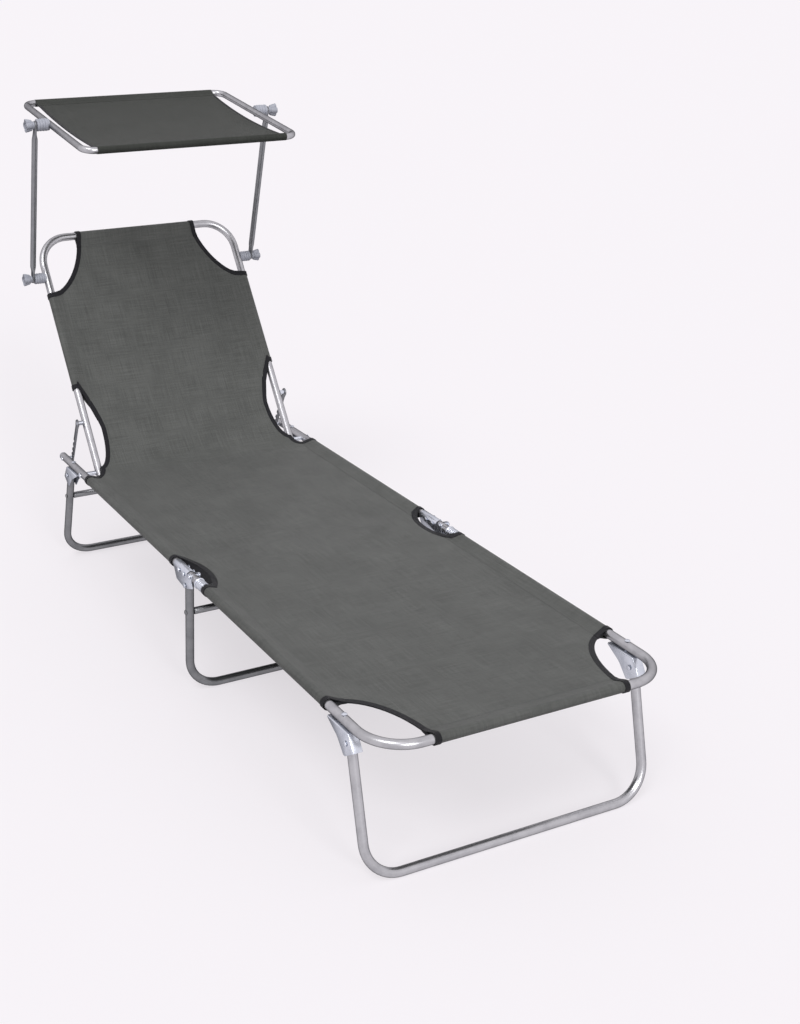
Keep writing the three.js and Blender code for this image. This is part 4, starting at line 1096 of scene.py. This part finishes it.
# tape along the sling's free edge from one station to another, rounded outwards so that the end rows count
def slingTape(rows, low, high, hangingFlap=None, rounding=0.0001):
    chosen = [row for row in rows if low - rounding <= row[1] <= high + rounding]
    return edgeTape(chosen, clothPoint, sling["tape"], hangingFlap=hangingFlap)


frontTapes = pairOf(lambda: slingTape(footRows, 0.0, cutEnd("frontCut", 1)), "front_cut_tape", "tape", "foot_section")
topTapes = pairOf(lambda: slingTape(backRows, backFoldY + cutEnd("topCut"), backFoldY + backLength), "top_cut_tape",
                  "tape", "backrest")
midTapes = [bendAtFoot(tape) for tape in pairOf(
    lambda: slingTape(footRows, cutEnd("midCut"), cutEnd("midCut", 1), hangingFlapAt), "mid_cut_tape", "tape", "")]
lumbarTapes = [bendAtBack(tape) for tape in pairOf(
    lambda: slingTape(backRows, cutEnd("lumbarSeatCut"), backFoldY + cutEnd("lumbarUpperCut", 1)), "lumbar_cut_tape",
    "tape", "")]
clothOn["canopy"] += pairOf(lambda: edgeTape(canopyRows, canopyPoint, canopy["tape"], canopy["tapeHalf"]),
                            "canopy_side_tape", "tape", "canopy", (), onCanopy)

stitch = {"pitch": 0.0045, "thread": (0.0006, 0.0029, 0.0005), "up": 0.0009, "insideSeam": 0.0015,
          "foot": (0.168, 0.660), "seat": (0.752, 1.256), "back": (0.206, 0.426),  # from and to along the rails
          "footHem": 0.178, "topHem": 0.140, "canopyHem": 0.210, "slingHemIn": 0.0268, "canopyHemIn": 0.0205}


# stitches, each a short raised thread: along both rails through span, and across hems given as (half length, y)
def stitchCloth(name, body, place, tubeX, span, hems=()):
    up, seamX, pitch = stitch["up"], tubeX - sling["seam"] + stitch["insideSeam"], stitch["pitch"]
    lines = [((side * seamX, span[0], up), (side * seamX, span[1], up)) for side in (-1, 1) if span]
    lines += [((-half, y, up), (half, y, up)) for half, y in hems]
    bm = bmesh.new()
    for start, end in lines:
        start, end = Vector(start), Vector(end)
        way = (end - start).normalized()
        turn = Vector((0, 1, 0)).rotation_difference(way).to_matrix().to_4x4()
        for i in range(int((end - start).length / pitch)):
            at = Matrix.Translation(start + way * pitch * (i + 0.5)) @ turn @ Matrix.Diagonal((*stitch["thread"], 1))
            bmesh.ops.create_cube(bm, size=1, matrix=at)
    clothOn[body].append(finishPiece(bm, name, "thread", body, (), place))


stitchCloth("foot_stitching", "foot_section", onSeat, railX, stitch["foot"],
            [(stitch["footHem"], stitch["slingHemIn"])])
stitchCloth("seat_stitching", "seat_frame", onSeat, railX, stitch["seat"])
stitchCloth("backrest_stitching", "backrest", onBack, backHalf, stitch["back"],
            [(stitch["topHem"], backLength - stitch["slingHemIn"])])
canopyHems = canopyFront + stitch["canopyHemIn"], canopyRear - stitch["canopyHemIn"]
stitchCloth("canopy_stitching", "canopy", onCanopy, canopyHalf, (), [(stitch["canopyHem"], y) for y in canopyHems])
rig.sheet(footWeb, flat=(0.65, 1.06), area=0.62, held="stretched",
         rests_on=["foot_frame_tube", "seat_rail_tube_right", "seat_rail_tube_left"],
         with_pieces=[*clothOn["foot_section"], *frontTapes, *midTapes])
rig.sheet(backWeb, flat=(0.65, 0.93), area=0.52, held="stretched",
         rests_on=["seat_rail_tube_right", "seat_rail_tube_left", "backrest_tube"],
         with_pieces=[*clothOn["seat_frame"], *clothOn["backrest"], *topTapes, *lumbarTapes])
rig.sheet(canopyWeb, flat=(0.44, 0.50), area=0.215, held="stretched", rests_on=["canopy_tube"],
         with_pieces=clothOn["canopy"])
print("slings and canopy made")


# 1 where the camera looks or where metal mirrors the room, so that both show the pale background
def backdropShare(tree):
    rays = addNode(tree, 'LightPath', {})
    mirrored = valueNode(tree, 'MAXIMUM', rays['Is Glossy Ray'], rays['Is Transmission Ray'])
    return valueNode(tree, 'MAXIMUM', rays['Is Camera Ray'], mirrored)


floor = {"half": 60, "colour": (0.30, 0.29, 0.30), "glow": (0.64, 0.615, 0.64), "roughness": 0.95}


def layFloor():
    material, tree, shader = newMaterial("paleFloor")
    feed(tree, shader, {
        "Base Color": (*floor["colour"], 1), "Roughness": floor["roughness"], "Specular IOR Level": 0.0,
        "Emission Color": (*floor["glow"], 1), "Emission Strength": backdropShare(tree)})
    bm = bmesh.new()
    bmesh.ops.create_grid(bm, x_segments=1, y_segments=1, size=floor["half"])
    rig.stage(addMesh(bm, "floor", material))


light = {"world": (0.98, 0.99, 1.0), "worldStrength": 0.60, "backdrop": (0.93, 0.90, 0.93),
         # strength, angle in degrees and direction of each sun
         "suns": {"key": (1.0, 25, (-0.9, -0.6, 1.6)), "front": (1.1, 18, (-0.1, -1.6, 0.75))}}


def lightRoom():
    world = bpy.data.worlds.new("studio")
    world.use_nodes = True
    tree = world.node_tree
    room = feed(tree, tree.nodes['Background'], {"Color": (*light["world"], 1), "Strength": light["worldStrength"]})
    backdrop = addNode(tree, 'Background', {"Color": (*light["backdrop"], 1), "Strength": 1.0})
    either = addNode(tree, 'MixShader', {0: backdropShare(tree), 1: room[0], 2: backdrop[0]})
    feed(tree, tree.nodes['World Output'], {"Surface": either[0]})
    bpy.context.scene.world = world
    for name, (energy, size, towards) in light["suns"].items():
        sun = bpy.data.lights.new(name, 'SUN')
        sun.energy, sun.angle = energy, math.radians(size)
        addObject(name, sun).rotation_euler = Vector(towards).to_track_quat('Z', 'Y').to_euler()


layFloor()
lightRoom()
bpy.context.scene.view_settings.view_transform = 'Standard'
print("room lit")

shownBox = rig.bounds()
with open("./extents.json", "w") as sizes:
    json.dump({"cad": [list(corner) for corner in cadBox], "visual": [list(corner) for corner in shownBox]}, sizes)
